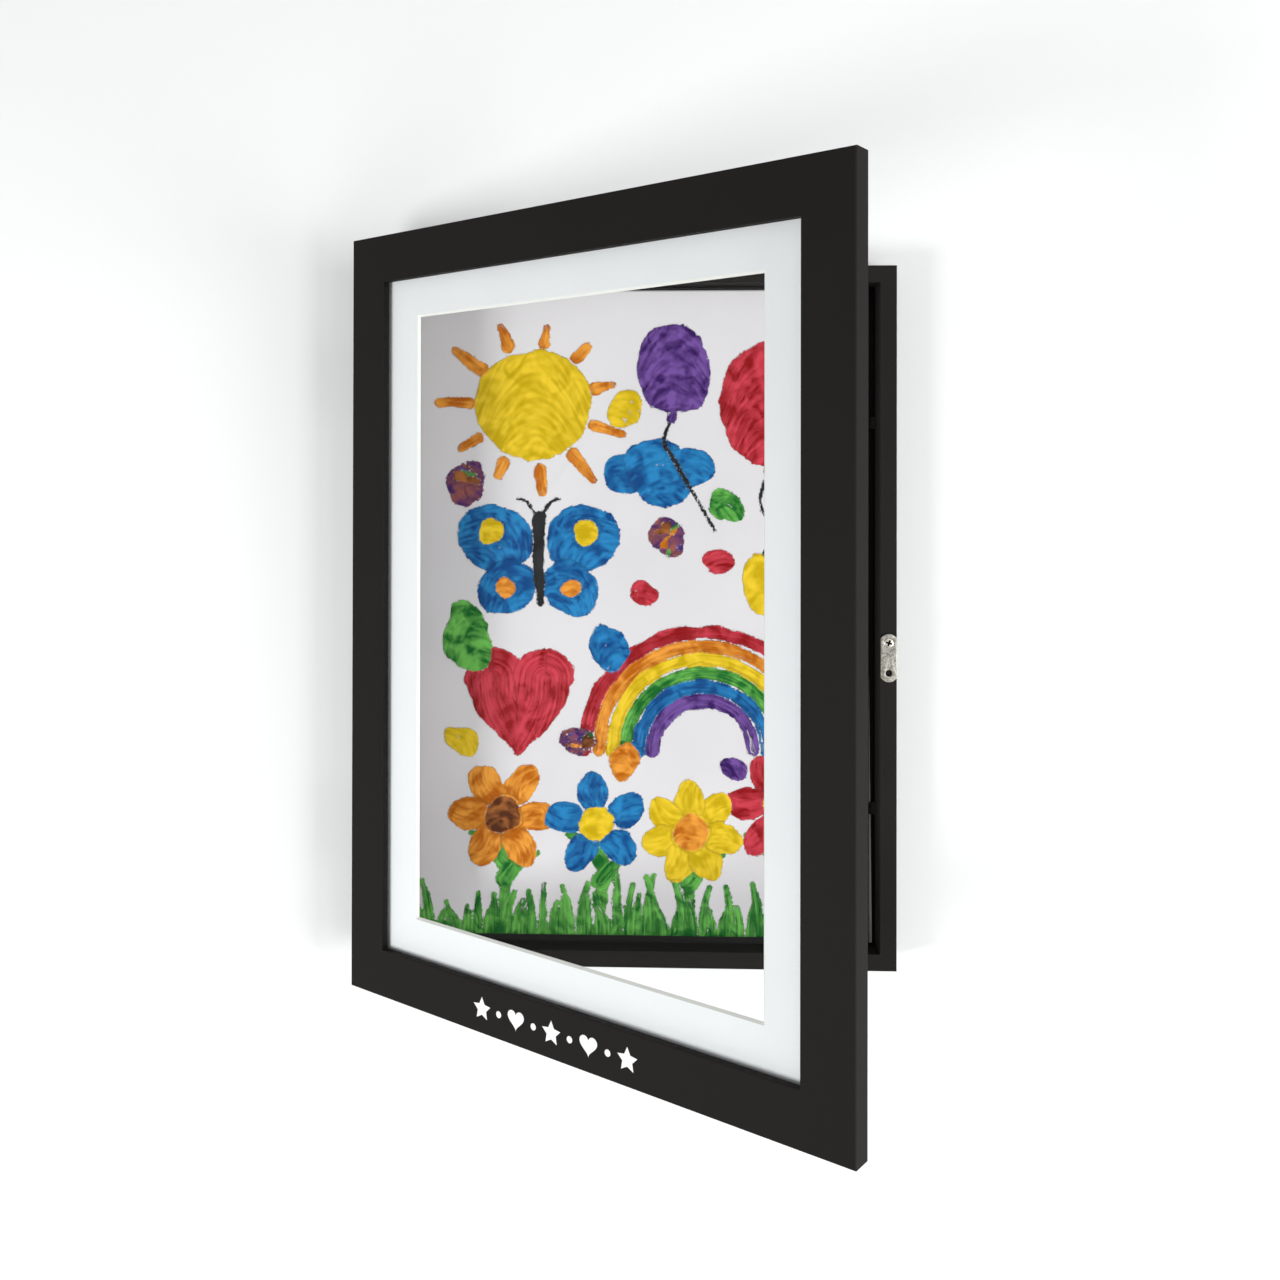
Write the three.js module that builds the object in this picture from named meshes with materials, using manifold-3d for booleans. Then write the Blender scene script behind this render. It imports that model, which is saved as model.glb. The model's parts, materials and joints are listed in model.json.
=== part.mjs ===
// Front-opening wall frame for a child's drawings, after a photograph.
//
// A shallow box hangs on the wall and stores the drawings. A picture-frame door, with a
// clear pane and a bevelled mat, swings on two butt hinges at the box's left side. It
// stands open here as it does in the photograph.
//
// Millimetres, +Z up. The wall is the plane y = 0 and the frame lies in front of it, at
// negative y. x = 0 is the middle of the box. z = 0 is halfway up the narrow back face of
// the box's top rail, which lies on the wall.

import * as THREE from 'three';
import { mergeVertices } from 'three/addons/utils/BufferGeometryUtils.js';
import Module from 'manifold-3d';

const wasm = await Module();
wasm.setup();

// Driving dimensions of the door

const doorHeight = 374;
const doorWidth = 278;
const doorThickness = 10;
const doorRail = 23; // width of the moulding across its face
const doorEdgeRound = 0.8; // rounding of the two front edges at the outside
const lipThickness = 3.6; // wood in front of the pane
const glazingRabbet = 4.2; // how far pane and mat reach in under the lip
const openAngle = THREE.MathUtils.degToRad(36); // as in the photograph

const paneThickness = 1.2;
const matThickness = 1.2;
const matSideBorder = 18.6; // mat showing between the sight edge and its window
const matEndBorder = 17.5; // the same, at top and bottom
const matBevel = 0.9; // the window's slanted cut, across the face

// Driving dimensions of the box

const boxDepth = 23;
const boxRail = 8.4; // wood at each side of the tray
const boxEdgeRound = 0.5;
const overhangSide = 11; // door beyond the box, left and right
const overhangTop = 12.7;
const overhangBottom = 9.3;
const doorGap = 1.8; // between the box and the shut door

const panelRabbet = 3.4; // step in the rails that the back panel sits in
const panelRecess = 2.1; // from the wall to the panel, room for the hangers
const panelThickness = 2.5;
const cardThickness = 1;
const strapThickness = 0.8;
const strapWidth = 6;
const strapSetback = 69.5; // strap's middle to the tray's end
const strapTuck = 4; // strap end inside its slot
const drawingThickness = 0.4;
const mountThickness = 1; // black card that the drawing on show is fixed to
const mountSideGap = 3.5; // beside that card, where the straps show
const mountMargin = { side: 2.5, top: 1.5, bottom: 3.8 }; // card round the drawing
const sheetCount = 9; // bundles of spare drawings
const bundleThickness = 0.4;
const bundleSlack = 1.2; // room for the bundles to lie unevenly
const stackLean = THREE.MathUtils.degToRad(0.45); // the stack's sides, to the left

// Clearances

const fitGap = 0.3; // between pieces that sit in or on each other
const mitreGap = 0.1; // glue line in each mitre
const traySlack = 0.5; // around what lies loose in the tray
const overrun = 1; // how far a cutting tool reaches past what it cuts

// Glazing points: thin pointed tabs pressed into the rabbet wall

const pointThickness = 0.5;
const pointWidth = 7;
const pointTip = 2.5; // length of the tapered end in the wood
const pointInWood = 3.2;
const pointOverhang = 4.6; // length that holds the board
const endPointShares = [-0.27, 0.27]; // places along a short rail
const sidePointShares = [-0.3, 0.3]; // places along a long rail

// Hinges: each a pair of leaves on one pin

const hingeHeight = 38;
const hingeSetback = 62; // hinge's middle to the box's end
const leafThickness = 0.9;
const leafReach = 8.4; // pin line to the leaf's free edge
const leafNotch = 2.6; // pin line to the plate, clear of the other leaf's knuckle
const leafCorner = 1.2;
const knuckleRadius = 2.1;
const middleKnuckle = 14.6; // length of the door's knuckle
const pinLine = 2.3; // pin line to the face that a leaf lies on
const pinRadius = 1;
const pinHeadRadius = 1.7;
const pinHeadHeight = 0.9;
const hingeScrewSpacing = 22;
const hingeScrew = { head: 1.9, shank: 0.9, length: 7, crown: 0.15 };

// Catch: a steel strike plate on the box and a magnet in the door

const strikeLength = 24;
const strikeWidth = 8;
const strikeThickness = 1;
const strikeEndRise = 2.3; // height of each rounded end
const strikeInset = 4.1; // plate's middle inside the box's right side
const strikeDrop = 20; // plate's middle below the box's middle
const strikeHoleSpacing = 15;
const strikeHoleRadius = 1.65;
const strikeScrew = { head: 2.35, shank: 1.1, length: 11, crown: 0.3 };
const magnetRadius = 3;
const magnetInset = 3.4; // magnet's middle inside the box's right side
const magnetThickness = 2.5;
const magnetEdge = 0.3;

// Shares of a head's radius, for every screw, nail and pin

const recessReachShare = 0.62;
const recessWidthShare = 0.24;
const recessDepthShare = 0.42;
const crownRadiusShare = 0.7; // the flat on top of a rounded head

// Sawtooth hangers on the back panel

const hangerLength = 44;
const hangerHeight = 9;
const hangerThickness = 0.6;
const hangerLift = 0.8; // middle stands off the panel, so a nail head fits behind
const hangerTab = 8; // flat end that is nailed down
const hangerRamp = 1.6;
const hangerToothPitch = 3;
const hangerToothDepth = 1.9;
const hangerDrop = 30; // hanger's middle below the panel's top
const hangerSetback = 57.7; // hanger's middle to the panel's side
const nailHeadRadius = 1.5;
const nailHeadHeight = 0.5;
const nailRadius = 0.5;
const nailLength = 1.9; // in the panel

// Facets

const fineFacets = 24;
const smallFacets = 16;
const roundSteps = 3;

// Sizes worked out from these

const boxWidth = doorWidth - 2 * overhangSide;
const boxHeight = doorHeight - overhangTop - overhangBottom;
const backLand = boxRail - panelRabbet;
const boxTop = backLand / 2;
const boxBottom = boxTop - boxHeight;
const boxMiddle = (boxTop + boxBottom) / 2;
const boxSide = boxWidth / 2;
const boxFront = -boxDepth;

const doorBack = boxFront - doorGap;
const doorFront = doorBack - doorThickness;
const doorTop = boxTop + overhangTop;
const doorBottom = boxBottom - overhangBottom;
const doorMiddle = (doorTop + doorBottom) / 2;
const doorSide = doorWidth / 2;

const trayHalfWidth = boxSide - boxRail;
const trayTop = boxTop - boxRail;
const trayBottom = boxBottom + boxRail;
const trayHeight = trayTop - trayBottom;

const panelBack = -panelRecess;
const panelFront = panelBack - panelThickness;
const cardFront = panelFront - cardThickness;
const stackThickness = sheetCount * bundleThickness;
const stackFront = cardFront - stackThickness;
const strapBack = stackFront - fitGap;
const strapFront = strapBack - strapThickness;
const mountBack = strapFront - fitGap;
const mountFront = mountBack - mountThickness;
const drawingBack = mountFront - fitGap;
const drawingFront = drawingBack - drawingThickness;

const paneFront = doorFront + lipThickness + fitGap;
const paneBack = paneFront + paneThickness;
const matFront = paneBack + fitGap;
const matBack = matFront + matThickness;

const sightHalfWidth = doorSide - doorRail;
const sightHalfHeight = doorHeight / 2 - doorRail;
const glazingHalfWidth = sightHalfWidth + glazingRabbet - fitGap;
const glazingHalfHeight = sightHalfHeight + glazingRabbet - fitGap;

const pinX = -boxSide - pinLine;
const pinY = doorBack + pinLine + fitGap;

// Materials

const paint = (color, roughness, metalness = 0) =>
  new THREE.MeshStandardMaterial({ color, roughness, metalness });

const materials = {
  blackWood: paint(0x2b2827, 0.45),
  hardboard: paint(0x8a6a48, 0.85),
  card: paint(0x1b1a1a, 0.9),
  paper: paint(0xe4e1df, 0.9),
  drawing: paint(0xdedbdc, 0.85),
  mat: paint(0xf0f3f5, 0.9),
  elastic: paint(0x121213, 0.8),
  pane: new THREE.MeshStandardMaterial({
    color: 0xf4f8f8,
    roughness: 0.05,
    metalness: 0,
    transparent: true,
    opacity: 0.15,
  }),
  nickel: paint(0xb0aca3, 0.3, 1),
  steel: paint(0x9d9a94, 0.35, 1),
  magnet: paint(0xc9c9c9, 0.22, 1),
};

// Solids: three.js shapes welded into closed solids, so that they can be joined and cut

function solid(geometry) {
  const bare = new THREE.BufferGeometry();
  bare.setAttribute('position', geometry.getAttribute('position'));
  bare.setIndex(geometry.index);
  const welded = mergeVertices(bare);
  const kept = [];
  const index = welded.index.array;
  for (let i = 0; i < index.length; i += 3) {
    const [a, b, c] = index.slice(i, i + 3);
    if (a !== b && b !== c && c !== a) {
      kept.push(a, b, c);
    }
  }
  const mesh = new wasm.Mesh({
    numProp: 3,
    vertProperties: new Float32Array(welded.attributes.position.array),
    triVerts: new Uint32Array(kept),
  });
  return new wasm.Manifold(mesh);
}

function geometryOf(manifold) {
  const mesh = manifold.getMesh();
  const geometry = new THREE.BufferGeometry();
  geometry.setAttribute('position', new THREE.BufferAttribute(mesh.vertProperties, 3));
  geometry.setIndex(new THREE.BufferAttribute(mesh.triVerts, 1));
  return geometry;
}

function cut(geometry, tools) {
  let body = solid(geometry);
  for (const tool of tools) {
    body = body.subtract(solid(tool));
  }
  return geometryOf(body);
}

function join(geometries) {
  let body = solid(geometries[0]);
  for (const other of geometries.slice(1)) {
    body = body.add(solid(other));
  }
  return geometryOf(body);
}

// A box between two corners
function block([x0, y0, z0], [x1, y1, z1]) {
  const geometry = new THREE.BoxGeometry(x1 - x0, y1 - y0, z1 - z0);
  geometry.translate((x0 + x1) / 2, (y0 + y1) / 2, (z0 + z1) / 2);
  return geometry;
}

// A profile of [radius, height] pairs turned about +Z
function turned(profile, facets) {
  const points = profile.map(([radius, height]) => new THREE.Vector2(radius, height));
  const geometry = new THREE.LatheGeometry(points, facets);
  geometry.rotateX(Math.PI / 2);
  return geometry;
}

function rod(radius, z0, z1, facets) {
  const profile = [
    [0, z0],
    [radius, z0],
    [radius, z1],
    [0, z1],
  ];
  return turned(profile, facets);
}

// A copy of a geometry whose +Z points along `towards`, with its origin at `at`
function placed(geometry, at, towards) {
  const up = new THREE.Vector3(0, 0, 1);
  const turn = new THREE.Quaternion().setFromUnitVectors(up, towards);
  return geometry.clone().applyQuaternion(turn).translate(at.x, at.y, at.z);
}

function addMesh(group, name, geometry, material) {
  const mesh = new THREE.Mesh(geometry, material);
  mesh.name = name;
  group.add(mesh);
  return mesh;
}

const towardsFront = new THREE.Vector3(0, -1, 0);
const towardsWall = new THREE.Vector3(0, 1, 0);
const towardsLeft = new THREE.Vector3(-1, 0, 0);

// Mitred rails: a section swept along the rail, each end sheared to its mitre. In the
// section x runs inwards from the outer edge and y from the front face to the back.

function doorSection() {
  const r = doorEdgeRound;
  const shape = new THREE.Shape();
  shape.moveTo(r, 0);
  shape.lineTo(doorRail, 0);
  shape.lineTo(doorRail, lipThickness);
  shape.lineTo(doorRail - glazingRabbet, lipThickness);
  shape.lineTo(doorRail - glazingRabbet, doorThickness);
  shape.lineTo(0, doorThickness);
  shape.lineTo(0, r);
  shape.absarc(r, r, r, Math.PI, 1.5 * Math.PI, false);
  return shape;
}

function boxSection() {
  const r = boxEdgeRound;
  const shape = new THREE.Shape();
  shape.moveTo(r, 0);
  shape.lineTo(boxRail, 0);
  shape.lineTo(boxRail, boxDepth + panelFront);
  shape.lineTo(backLand, boxDepth + panelFront);
  shape.lineTo(backLand, boxDepth);
  shape.lineTo(0, boxDepth);
  shape.lineTo(0, r);
  shape.absarc(r, r, r, Math.PI, 1.5 * Math.PI, false);
  return shape;
}

function mitredRail(section, length) {
  const geometry = new THREE.ExtrudeGeometry(section, {
    depth: length,
    bevelEnabled: false,
    curveSegments: roundSteps,
  });
  const position = geometry.getAttribute('position');
  const setback = mitreGap / Math.SQRT2;
  for (let i = 0; i < position.count; i += 1) {
    const end = Math.sign(position.getZ(i) - length / 2);
    position.setZ(i, end * (length / 2 - position.getX(i) - setback));
  }
  return geometry;
}

// The four rails of one frame, keyed by side, each where it lies
function railSet(section, { width, height, front, middle }) {
  const inwards = {
    top: [new THREE.Vector3(0, 0, -1), width],
    bottom: [new THREE.Vector3(0, 0, 1), width],
    left: [new THREE.Vector3(1, 0, 0), height],
    right: [new THREE.Vector3(-1, 0, 0), height],
  };
  const rails = {};
  for (const [side, [inward, length]] of Object.entries(inwards)) {
    const along = inward.clone().cross(towardsWall);
    const basis = new THREE.Matrix4().makeBasis(inward, towardsWall, along);
    const outer = inward.clone().multiply(new THREE.Vector3(-width / 2, 0, -height / 2));
    basis.setPosition(outer.x, front, middle + outer.z);
    rails[side] = mitredRail(section, length).applyMatrix4(basis);
  }
  return rails;
}

// Glazing points. A tab lies flat on the board with its tip in the rabbet wall. In its own
// frame the wall is at x = 0, the wood is at negative x and the board at positive x.

function pointGeometry(gap) {
  const half = pointWidth / 2 + gap;
  const wood = -pointInWood - gap;
  const shape = new THREE.Shape();
  shape.moveTo(pointOverhang + gap, -half);
  shape.lineTo(pointOverhang + gap, half);
  shape.lineTo(wood + pointTip, half);
  shape.lineTo(wood, 0);
  shape.lineTo(wood + pointTip, -half);
  shape.closePath();
  const geometry = new THREE.ExtrudeGeometry(shape, {
    depth: pointThickness + 2 * gap,
    bevelEnabled: false,
  });
  geometry.translate(0, 0, -gap);
  return geometry;
}

// Where each point of a frame sits: the rabbet wall it enters and the way it faces
function pointPlaces({ halfWidth, halfHeight, middle, y, endShares, sideShares }) {
  const places = [];
  for (const [side, sign] of [['top', 1], ['bottom', -1]]) {
    endShares.forEach((share, i) => {
      const at = new THREE.Vector3(share * 2 * halfWidth, y, middle + sign * halfHeight);
      places.push({ side, number: i + 1, at, inward: new THREE.Vector3(0, 0, -sign) });
    });
  }
  for (const [side, sign] of [['left', -1], ['right', 1]]) {
    sideShares.forEach((share, i) => {
      const at = new THREE.Vector3(sign * halfWidth, y, middle + share * 2 * halfHeight);
      places.push({ side, number: i + 1, at, inward: new THREE.Vector3(-sign, 0, 0) });
    });
  }
  return places;
}

// The tab's thickness runs from the board towards the back
function pointAt({ at, inward }, gap) {
  const across = towardsWall.clone().cross(inward);
  const basis = new THREE.Matrix4().makeBasis(inward, across, towardsWall);
  basis.setPosition(at);
  return pointGeometry(gap).applyMatrix4(basis);
}

// Countersunk screws with a cross recess. The head's rim is at z = 0, the shank below it.

function screwProfile({ head, shank, length, crown }, gap) {
  const top = gap ? overrun : crown;
  const rim = gap ? head + gap : head * crownRadiusShare;
  return [
    [0, -length - gap],
    [shank + gap, -length + shank - gap],
    [shank + gap, shank - head],
    [head + gap, 0],
    [rim, top],
    [0, top],
  ];
}

function screwGeometry(size) {
  const body = turned(screwProfile(size, 0), smallFacets);
  const reach = size.head * recessReachShare;
  const half = (size.head * recessWidthShare) / 2;
  const depth = size.head * recessDepthShare;
  const top = size.crown + overrun;
  return cut(body, [
    block([-reach, -half, -depth], [reach, half, top]),
    block([-half, -reach, -depth], [half, reach, top]),
  ]);
}

function screwHole(size, at, towards) {
  return placed(turned(screwProfile(size, fitGap), smallFacets), at, towards);
}

function addScrew(group, name, size, at, towards) {
  const mesh = addMesh(group, name, screwGeometry(size), materials.nickel);
  mesh.position.copy(at);
  mesh.quaternion.setFromUnitVectors(new THREE.Vector3(0, 0, 1), towards);
}

// Hinges. A leaf's own frame has the pin line on Z; the plate reaches out along +X and
// lies on a face at y = pinLine. The box's leaf has the end knuckles, the door's leaf the
// middle one, and each plate is notched clear of the other's knuckles.

const endKnuckle = (hingeHeight - middleKnuckle) / 2 - fitGap;
const hingeEnds = [
  ['upper', boxTop - hingeSetback],
  ['lower', boxBottom + hingeSetback],
];
const leafScrewReach = (leafNotch + leafReach) / 2;
const boreRadius = pinRadius + fitGap;

function leafPlate() {
  const half = hingeHeight / 2;
  const c = leafCorner;
  const shape = new THREE.Shape();
  shape.moveTo(leafNotch, -half);
  shape.lineTo(leafReach - c, -half);
  shape.absarc(leafReach - c, c - half, c, -Math.PI / 2, 0, false);
  shape.lineTo(leafReach, half - c);
  shape.absarc(leafReach - c, half - c, c, 0, Math.PI / 2, false);
  shape.lineTo(leafNotch, half);
  shape.closePath();
  const geometry = new THREE.ExtrudeGeometry(shape, {
    depth: leafThickness,
    bevelEnabled: false,
    curveSegments: roundSteps,
  });
  geometry.rotateX(Math.PI / 2);
  return geometry.translate(0, pinLine, 0);
}

function hingeLeaf(knuckles) {
  const pieces = [leafPlate()];
  for (const [z0, z1] of knuckles) {
    pieces.push(rod(knuckleRadius, z0, z1, fineFacets));
    pieces.push(block([0, pinLine - leafThickness, z0], [leafNotch + overrun, pinLine, z1]));
  }
  const tools = [rod(boreRadius, -hingeHeight, hingeHeight, smallFacets)];
  const outwards = new THREE.Vector3(0, -1, 0);
  for (const side of [-1, 1]) {
    const z = (side * hingeScrewSpacing) / 2;
    const at = new THREE.Vector3(leafScrewReach, pinLine - leafThickness, z);
    tools.push(screwHole(hingeScrew, at, outwards));
  }
  return cut(join(pieces), tools);
}

const halfHinge = hingeHeight / 2;
const boxKnuckles = [
  [-halfHinge, endKnuckle - halfHinge],
  [halfHinge - endKnuckle, halfHinge],
];
const doorKnuckles = [[-middleKnuckle / 2, middleKnuckle / 2]];

function pinGeometry() {
  const top = halfHinge + pinHeadHeight;
  const neck = pinHeadRadius * crownRadiusShare;
  return turned(
    [
      [0, -top],
      [neck, -top],
      [pinHeadRadius, -halfHinge],
      [pinRadius, -halfHinge],
      [pinRadius, halfHinge],
      [pinHeadRadius, halfHinge],
      [neck, top],
      [0, top],
    ],
    smallFacets,
  );
}

// Turn a leaf's frame onto its seat
const boxLeafTurn = new THREE.Matrix4().makeBasis(
  new THREE.Vector3(0, 1, 0),
  new THREE.Vector3(1, 0, 0),
  new THREE.Vector3(0, 0, -1),
);
const doorLeafTurn = new THREE.Matrix4().makeRotationZ(Math.PI);

function leafScrewPlaces(turn, z, towards) {
  return [-1, 1].map((side) => {
    const local = new THREE.Vector3(
      leafScrewReach,
      pinLine - leafThickness,
      (side * hingeScrewSpacing) / 2,
    );
    const at = local.applyMatrix4(turn).add(new THREE.Vector3(pinX, pinY, z));
    return { at, towards };
  });
}

const boxLeafScrews = hingeEnds.map(([, z]) => leafScrewPlaces(boxLeafTurn, z, towardsLeft));
const doorLeafScrews = hingeEnds.map(([, z]) => leafScrewPlaces(doorLeafTurn, z, towardsWall));

function addLeaf(group, name, knuckles, turn, z) {
  const mesh = addMesh(group, name, hingeLeaf(knuckles), materials.steel);
  mesh.setRotationFromMatrix(turn);
  mesh.position.set(pinX, pinY, z);
}

// The catch

const strikeX = boxSide - strikeInset;
const strikeZ = boxMiddle - strikeDrop;
const strikeFace = boxFront - strikeThickness;
const strikeScrewAt = new THREE.Vector3(strikeX, strikeFace, strikeZ + strikeHoleSpacing / 2);

function strikePlate() {
  const half = strikeWidth / 2;
  const radius = (half * half + strikeEndRise * strikeEndRise) / (2 * strikeEndRise);
  const centre = strikeLength / 2 - radius;
  const spread = Math.asin(half / radius);
  const up = Math.PI / 2;
  const shape = new THREE.Shape();
  shape.absarc(0, centre, radius, up - spread, up + spread, false);
  shape.absarc(0, -centre, radius, -up - spread, -up + spread, false);
  shape.closePath();
  const emptyHole = new THREE.Path();
  emptyHole.absarc(0, -strikeHoleSpacing / 2, strikeHoleRadius, 0, 2 * Math.PI, true);
  shape.holes.push(emptyHole);
  const geometry = new THREE.ExtrudeGeometry(shape, {
    depth: strikeThickness,
    bevelEnabled: false,
    curveSegments: fineFacets / 2,
  });
  geometry.rotateX(Math.PI / 2);
  geometry.translate(strikeX, boxFront, strikeZ);
  return cut(geometry, [screwHole(strikeScrew, strikeScrewAt, towardsFront)]);
}

function magnetGeometry() {
  const r = magnetRadius;
  const e = magnetEdge;
  return turned(
    [
      [0, -magnetThickness],
      [r, -magnetThickness],
      [r, -e],
      [r - e, 0],
      [0, 0],
    ],
    fineFacets,
  );
}

// Sawtooth hanger: a hat-shaped strip with teeth along its lower edge and a nail hole at
// each end. In its own frame the panel is at y = 0 and the wall is towards +y.

const hangerNailReach = (hangerLength - hangerTab) / 2;

function hangerStrip() {
  const end = hangerLength / 2;
  const foot = end - hangerTab;
  const crest = foot - hangerRamp;
  const t = hangerThickness;
  const high = hangerLift + t;
  const shape = new THREE.Shape();
  shape.moveTo(-end, 0);
  shape.lineTo(-foot, 0);
  shape.lineTo(-crest, hangerLift);
  shape.lineTo(crest, hangerLift);
  shape.lineTo(foot, 0);
  shape.lineTo(end, 0);
  shape.lineTo(end, t);
  shape.lineTo(foot, t);
  shape.lineTo(crest, high);
  shape.lineTo(-crest, high);
  shape.lineTo(-foot, t);
  shape.lineTo(-end, t);
  shape.closePath();
  const geometry = new THREE.ExtrudeGeometry(shape, {
    depth: hangerHeight,
    bevelEnabled: false,
  });
  return geometry.translate(0, 0, -hangerHeight / 2);
}

function hangerTooth(x) {
  const half = hangerToothPitch / 2;
  const base = -hangerHeight / 2;
  const shape = new THREE.Shape();
  shape.moveTo(x - half, base - overrun);
  shape.lineTo(x + half, base - overrun);
  shape.lineTo(x + half, base);
  shape.lineTo(x, base + hangerToothDepth);
  shape.lineTo(x - half, base);
  shape.closePath();
  const depth = 2 * (hangerLift + hangerThickness + overrun);
  const geometry = new THREE.ExtrudeGeometry(shape, { depth, bevelEnabled: false });
  geometry.translate(0, 0, -depth / 2);
  return geometry.rotateX(Math.PI / 2);
}

function nailGeometry() {
  return turned(
    [
      [0, -hangerThickness - nailLength],
      [nailRadius, nailRadius - hangerThickness - nailLength],
      [nailRadius, 0],
      [nailHeadRadius, 0],
      [nailHeadRadius * crownRadiusShare, nailHeadHeight],
      [0, nailHeadHeight],
    ],
    smallFacets,
  );
}

function nailHole(at) {
  const depth = hangerThickness + nailLength + fitGap;
  return placed(rod(nailRadius + fitGap, -depth, overrun, smallFacets), at, towardsWall);
}

function sawtoothHanger() {
  const run = hangerLength - 2 * (hangerTab + hangerRamp);
  const count = Math.floor(run / hangerToothPitch);
  const tools = [];
  for (let i = 0; i < count; i += 1) {
    tools.push(hangerTooth((i - (count - 1) / 2) * hangerToothPitch));
  }
  for (const side of [-1, 1]) {
    tools.push(nailHole(new THREE.Vector3(side * hangerNailReach, hangerThickness, 0)));
  }
  return cut(hangerStrip(), tools);
}

const panelHalfWidth = boxSide - backLand - fitGap;
const panelTop = boxTop - backLand - fitGap;
const panelBottom = boxBottom + backLand + fitGap;
const hangerZ = panelTop - hangerDrop;
const hangerPlaces = [
  ['left', hangerSetback - panelHalfWidth],
  ['right', panelHalfWidth - hangerSetback],
];

function hangerNails(x) {
  return [-1, 1].map(
    (side) => new THREE.Vector3(x + side * hangerNailReach, panelBack + hangerThickness, hangerZ),
  );
}

// The box and what it holds

const strapPlaces = [
  ['upper', trayTop - strapSetback],
  ['lower', trayBottom + strapSetback],
];

function strapBlock(z, gap) {
  const half = strapWidth / 2 + gap;
  const reach = trayHalfWidth + strapTuck + gap;
  return block([-reach, strapFront - gap, z - half], [reach, strapBack + gap, z + half]);
}

const panelPointPlaces = pointPlaces({
  halfWidth: boxSide - backLand,
  halfHeight: boxHeight / 2 - backLand,
  middle: boxMiddle,
  y: panelBack,
  endShares: [0],
  sideShares: sidePointShares,
});

function addBoxRails(group) {
  const rails = railSet(boxSection(), {
    width: boxWidth,
    height: boxHeight,
    front: boxFront,
    middle: boxMiddle,
  });
  const tools = { top: [], bottom: [], left: [], right: [] };
  for (const place of panelPointPlaces) {
    tools[place.side].push(pointAt(place, fitGap));
  }
  for (const [, z] of strapPlaces) {
    tools.left.push(strapBlock(z, fitGap));
    tools.right.push(strapBlock(z, fitGap));
  }
  for (const { at, towards } of boxLeafScrews.flat()) {
    tools.left.push(screwHole(hingeScrew, at, towards));
  }
  tools.right.push(screwHole(strikeScrew, strikeScrewAt, towardsFront));
  for (const [side, geometry] of Object.entries(rails)) {
    addMesh(group, `box_rail_${side}`, cut(geometry, tools[side]), materials.blackWood);
  }
}

function addBackPanel(group) {
  const panel = block(
    [-panelHalfWidth, panelFront, panelBottom],
    [panelHalfWidth, panelBack, panelTop],
  );
  const nails = hangerPlaces.flatMap(([, x]) => hangerNails(x));
  addMesh(group, 'back_panel', cut(panel, nails.map(nailHole)), materials.hardboard);
  for (const place of panelPointPlaces) {
    const name = `panel_point_${place.side}_${place.number}`;
    addMesh(group, name, pointAt(place, 0), materials.steel);
  }
}

function addHangers(group) {
  const nail = nailGeometry();
  for (const [side, x] of hangerPlaces) {
    const hanger = addMesh(group, `hanger_${side}`, sawtoothHanger(), materials.nickel);
    hanger.position.set(x, panelBack, hangerZ);
    hangerNails(x).forEach((at, i) => {
      const mesh = addMesh(group, `hanger_${side}_nail_${i + 1}`, nail, materials.steel);
      mesh.position.copy(at);
      mesh.quaternion.setFromUnitVectors(new THREE.Vector3(0, 0, 1), towardsWall);
    });
  }
}

// Bundles of spare drawings, none quite square with the next. Each share is how far a
// bundle lies to the right, and up, of the middle of its slack. They stand level but
// lean to the left, as loose sheets do in a tray that is wider than they are.
const bundleShiftShares = [
  [0.1, 0.4],
  [-0.35, -0.2],
  [0.5, -0.5],
  [-0.1, 0.15],
  [0.3, -0.35],
  [-0.5, 0.5],
  [0.2, -0.1],
  [-0.25, 0.3],
  [0.45, -0.45],
];

function paperStack() {
  const roomHalfWidth = trayHalfWidth - traySlack - bundleSlack / 2;
  const roomHalfHeight = trayHeight / 2 - traySlack - bundleSlack / 2;
  const drift = Math.tan(stackLean);
  const halfWidth = roomHalfWidth - roomHalfHeight * drift;
  const bundles = [];
  for (let i = 0; i < sheetCount; i += 1) {
    const [right, up] = bundleShiftShares[i % bundleShiftShares.length];
    const x = right * bundleSlack;
    const z = up * bundleSlack;
    const back = cardFront - i * bundleThickness;
    bundles.push(
      block(
        [x - halfWidth, back - bundleThickness, z - roomHalfHeight],
        [x + halfWidth, back, z + roomHalfHeight],
      ),
    );
  }
  const lean = new THREE.Matrix4().makeShear(0, 0, 0, 0, -drift, 0);
  const middle = (trayTop + trayBottom) / 2;
  return join(bundles).applyMatrix4(lean).translate(0, 0, middle);
}

function addPaper(group) {
  const card = block(
    [traySlack - trayHalfWidth, cardFront, trayBottom + traySlack],
    [trayHalfWidth - traySlack, panelFront, trayTop - traySlack],
  );
  addMesh(group, 'backing_card', card, materials.card);
  addMesh(group, 'paper_stack', paperStack(), materials.paper);
  for (const [end, z] of strapPlaces) {
    addMesh(group, `elastic_strap_${end}`, strapBlock(z, 0), materials.elastic);
  }
  const right = trayHalfWidth - mountSideGap;
  const top = trayTop - traySlack;
  const bottom = trayBottom + fitGap;
  const mount = block([-right, mountFront, bottom], [right, mountBack, top]);
  addMesh(group, 'mount_card', mount, materials.card);
  const { side, top: above, bottom: below } = mountMargin;
  const drawing = block(
    [side - right, drawingFront, bottom + below],
    [right - side, drawingBack, top - above],
  );
  addMesh(group, 'top_drawing', drawing, materials.drawing);
}

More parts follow.
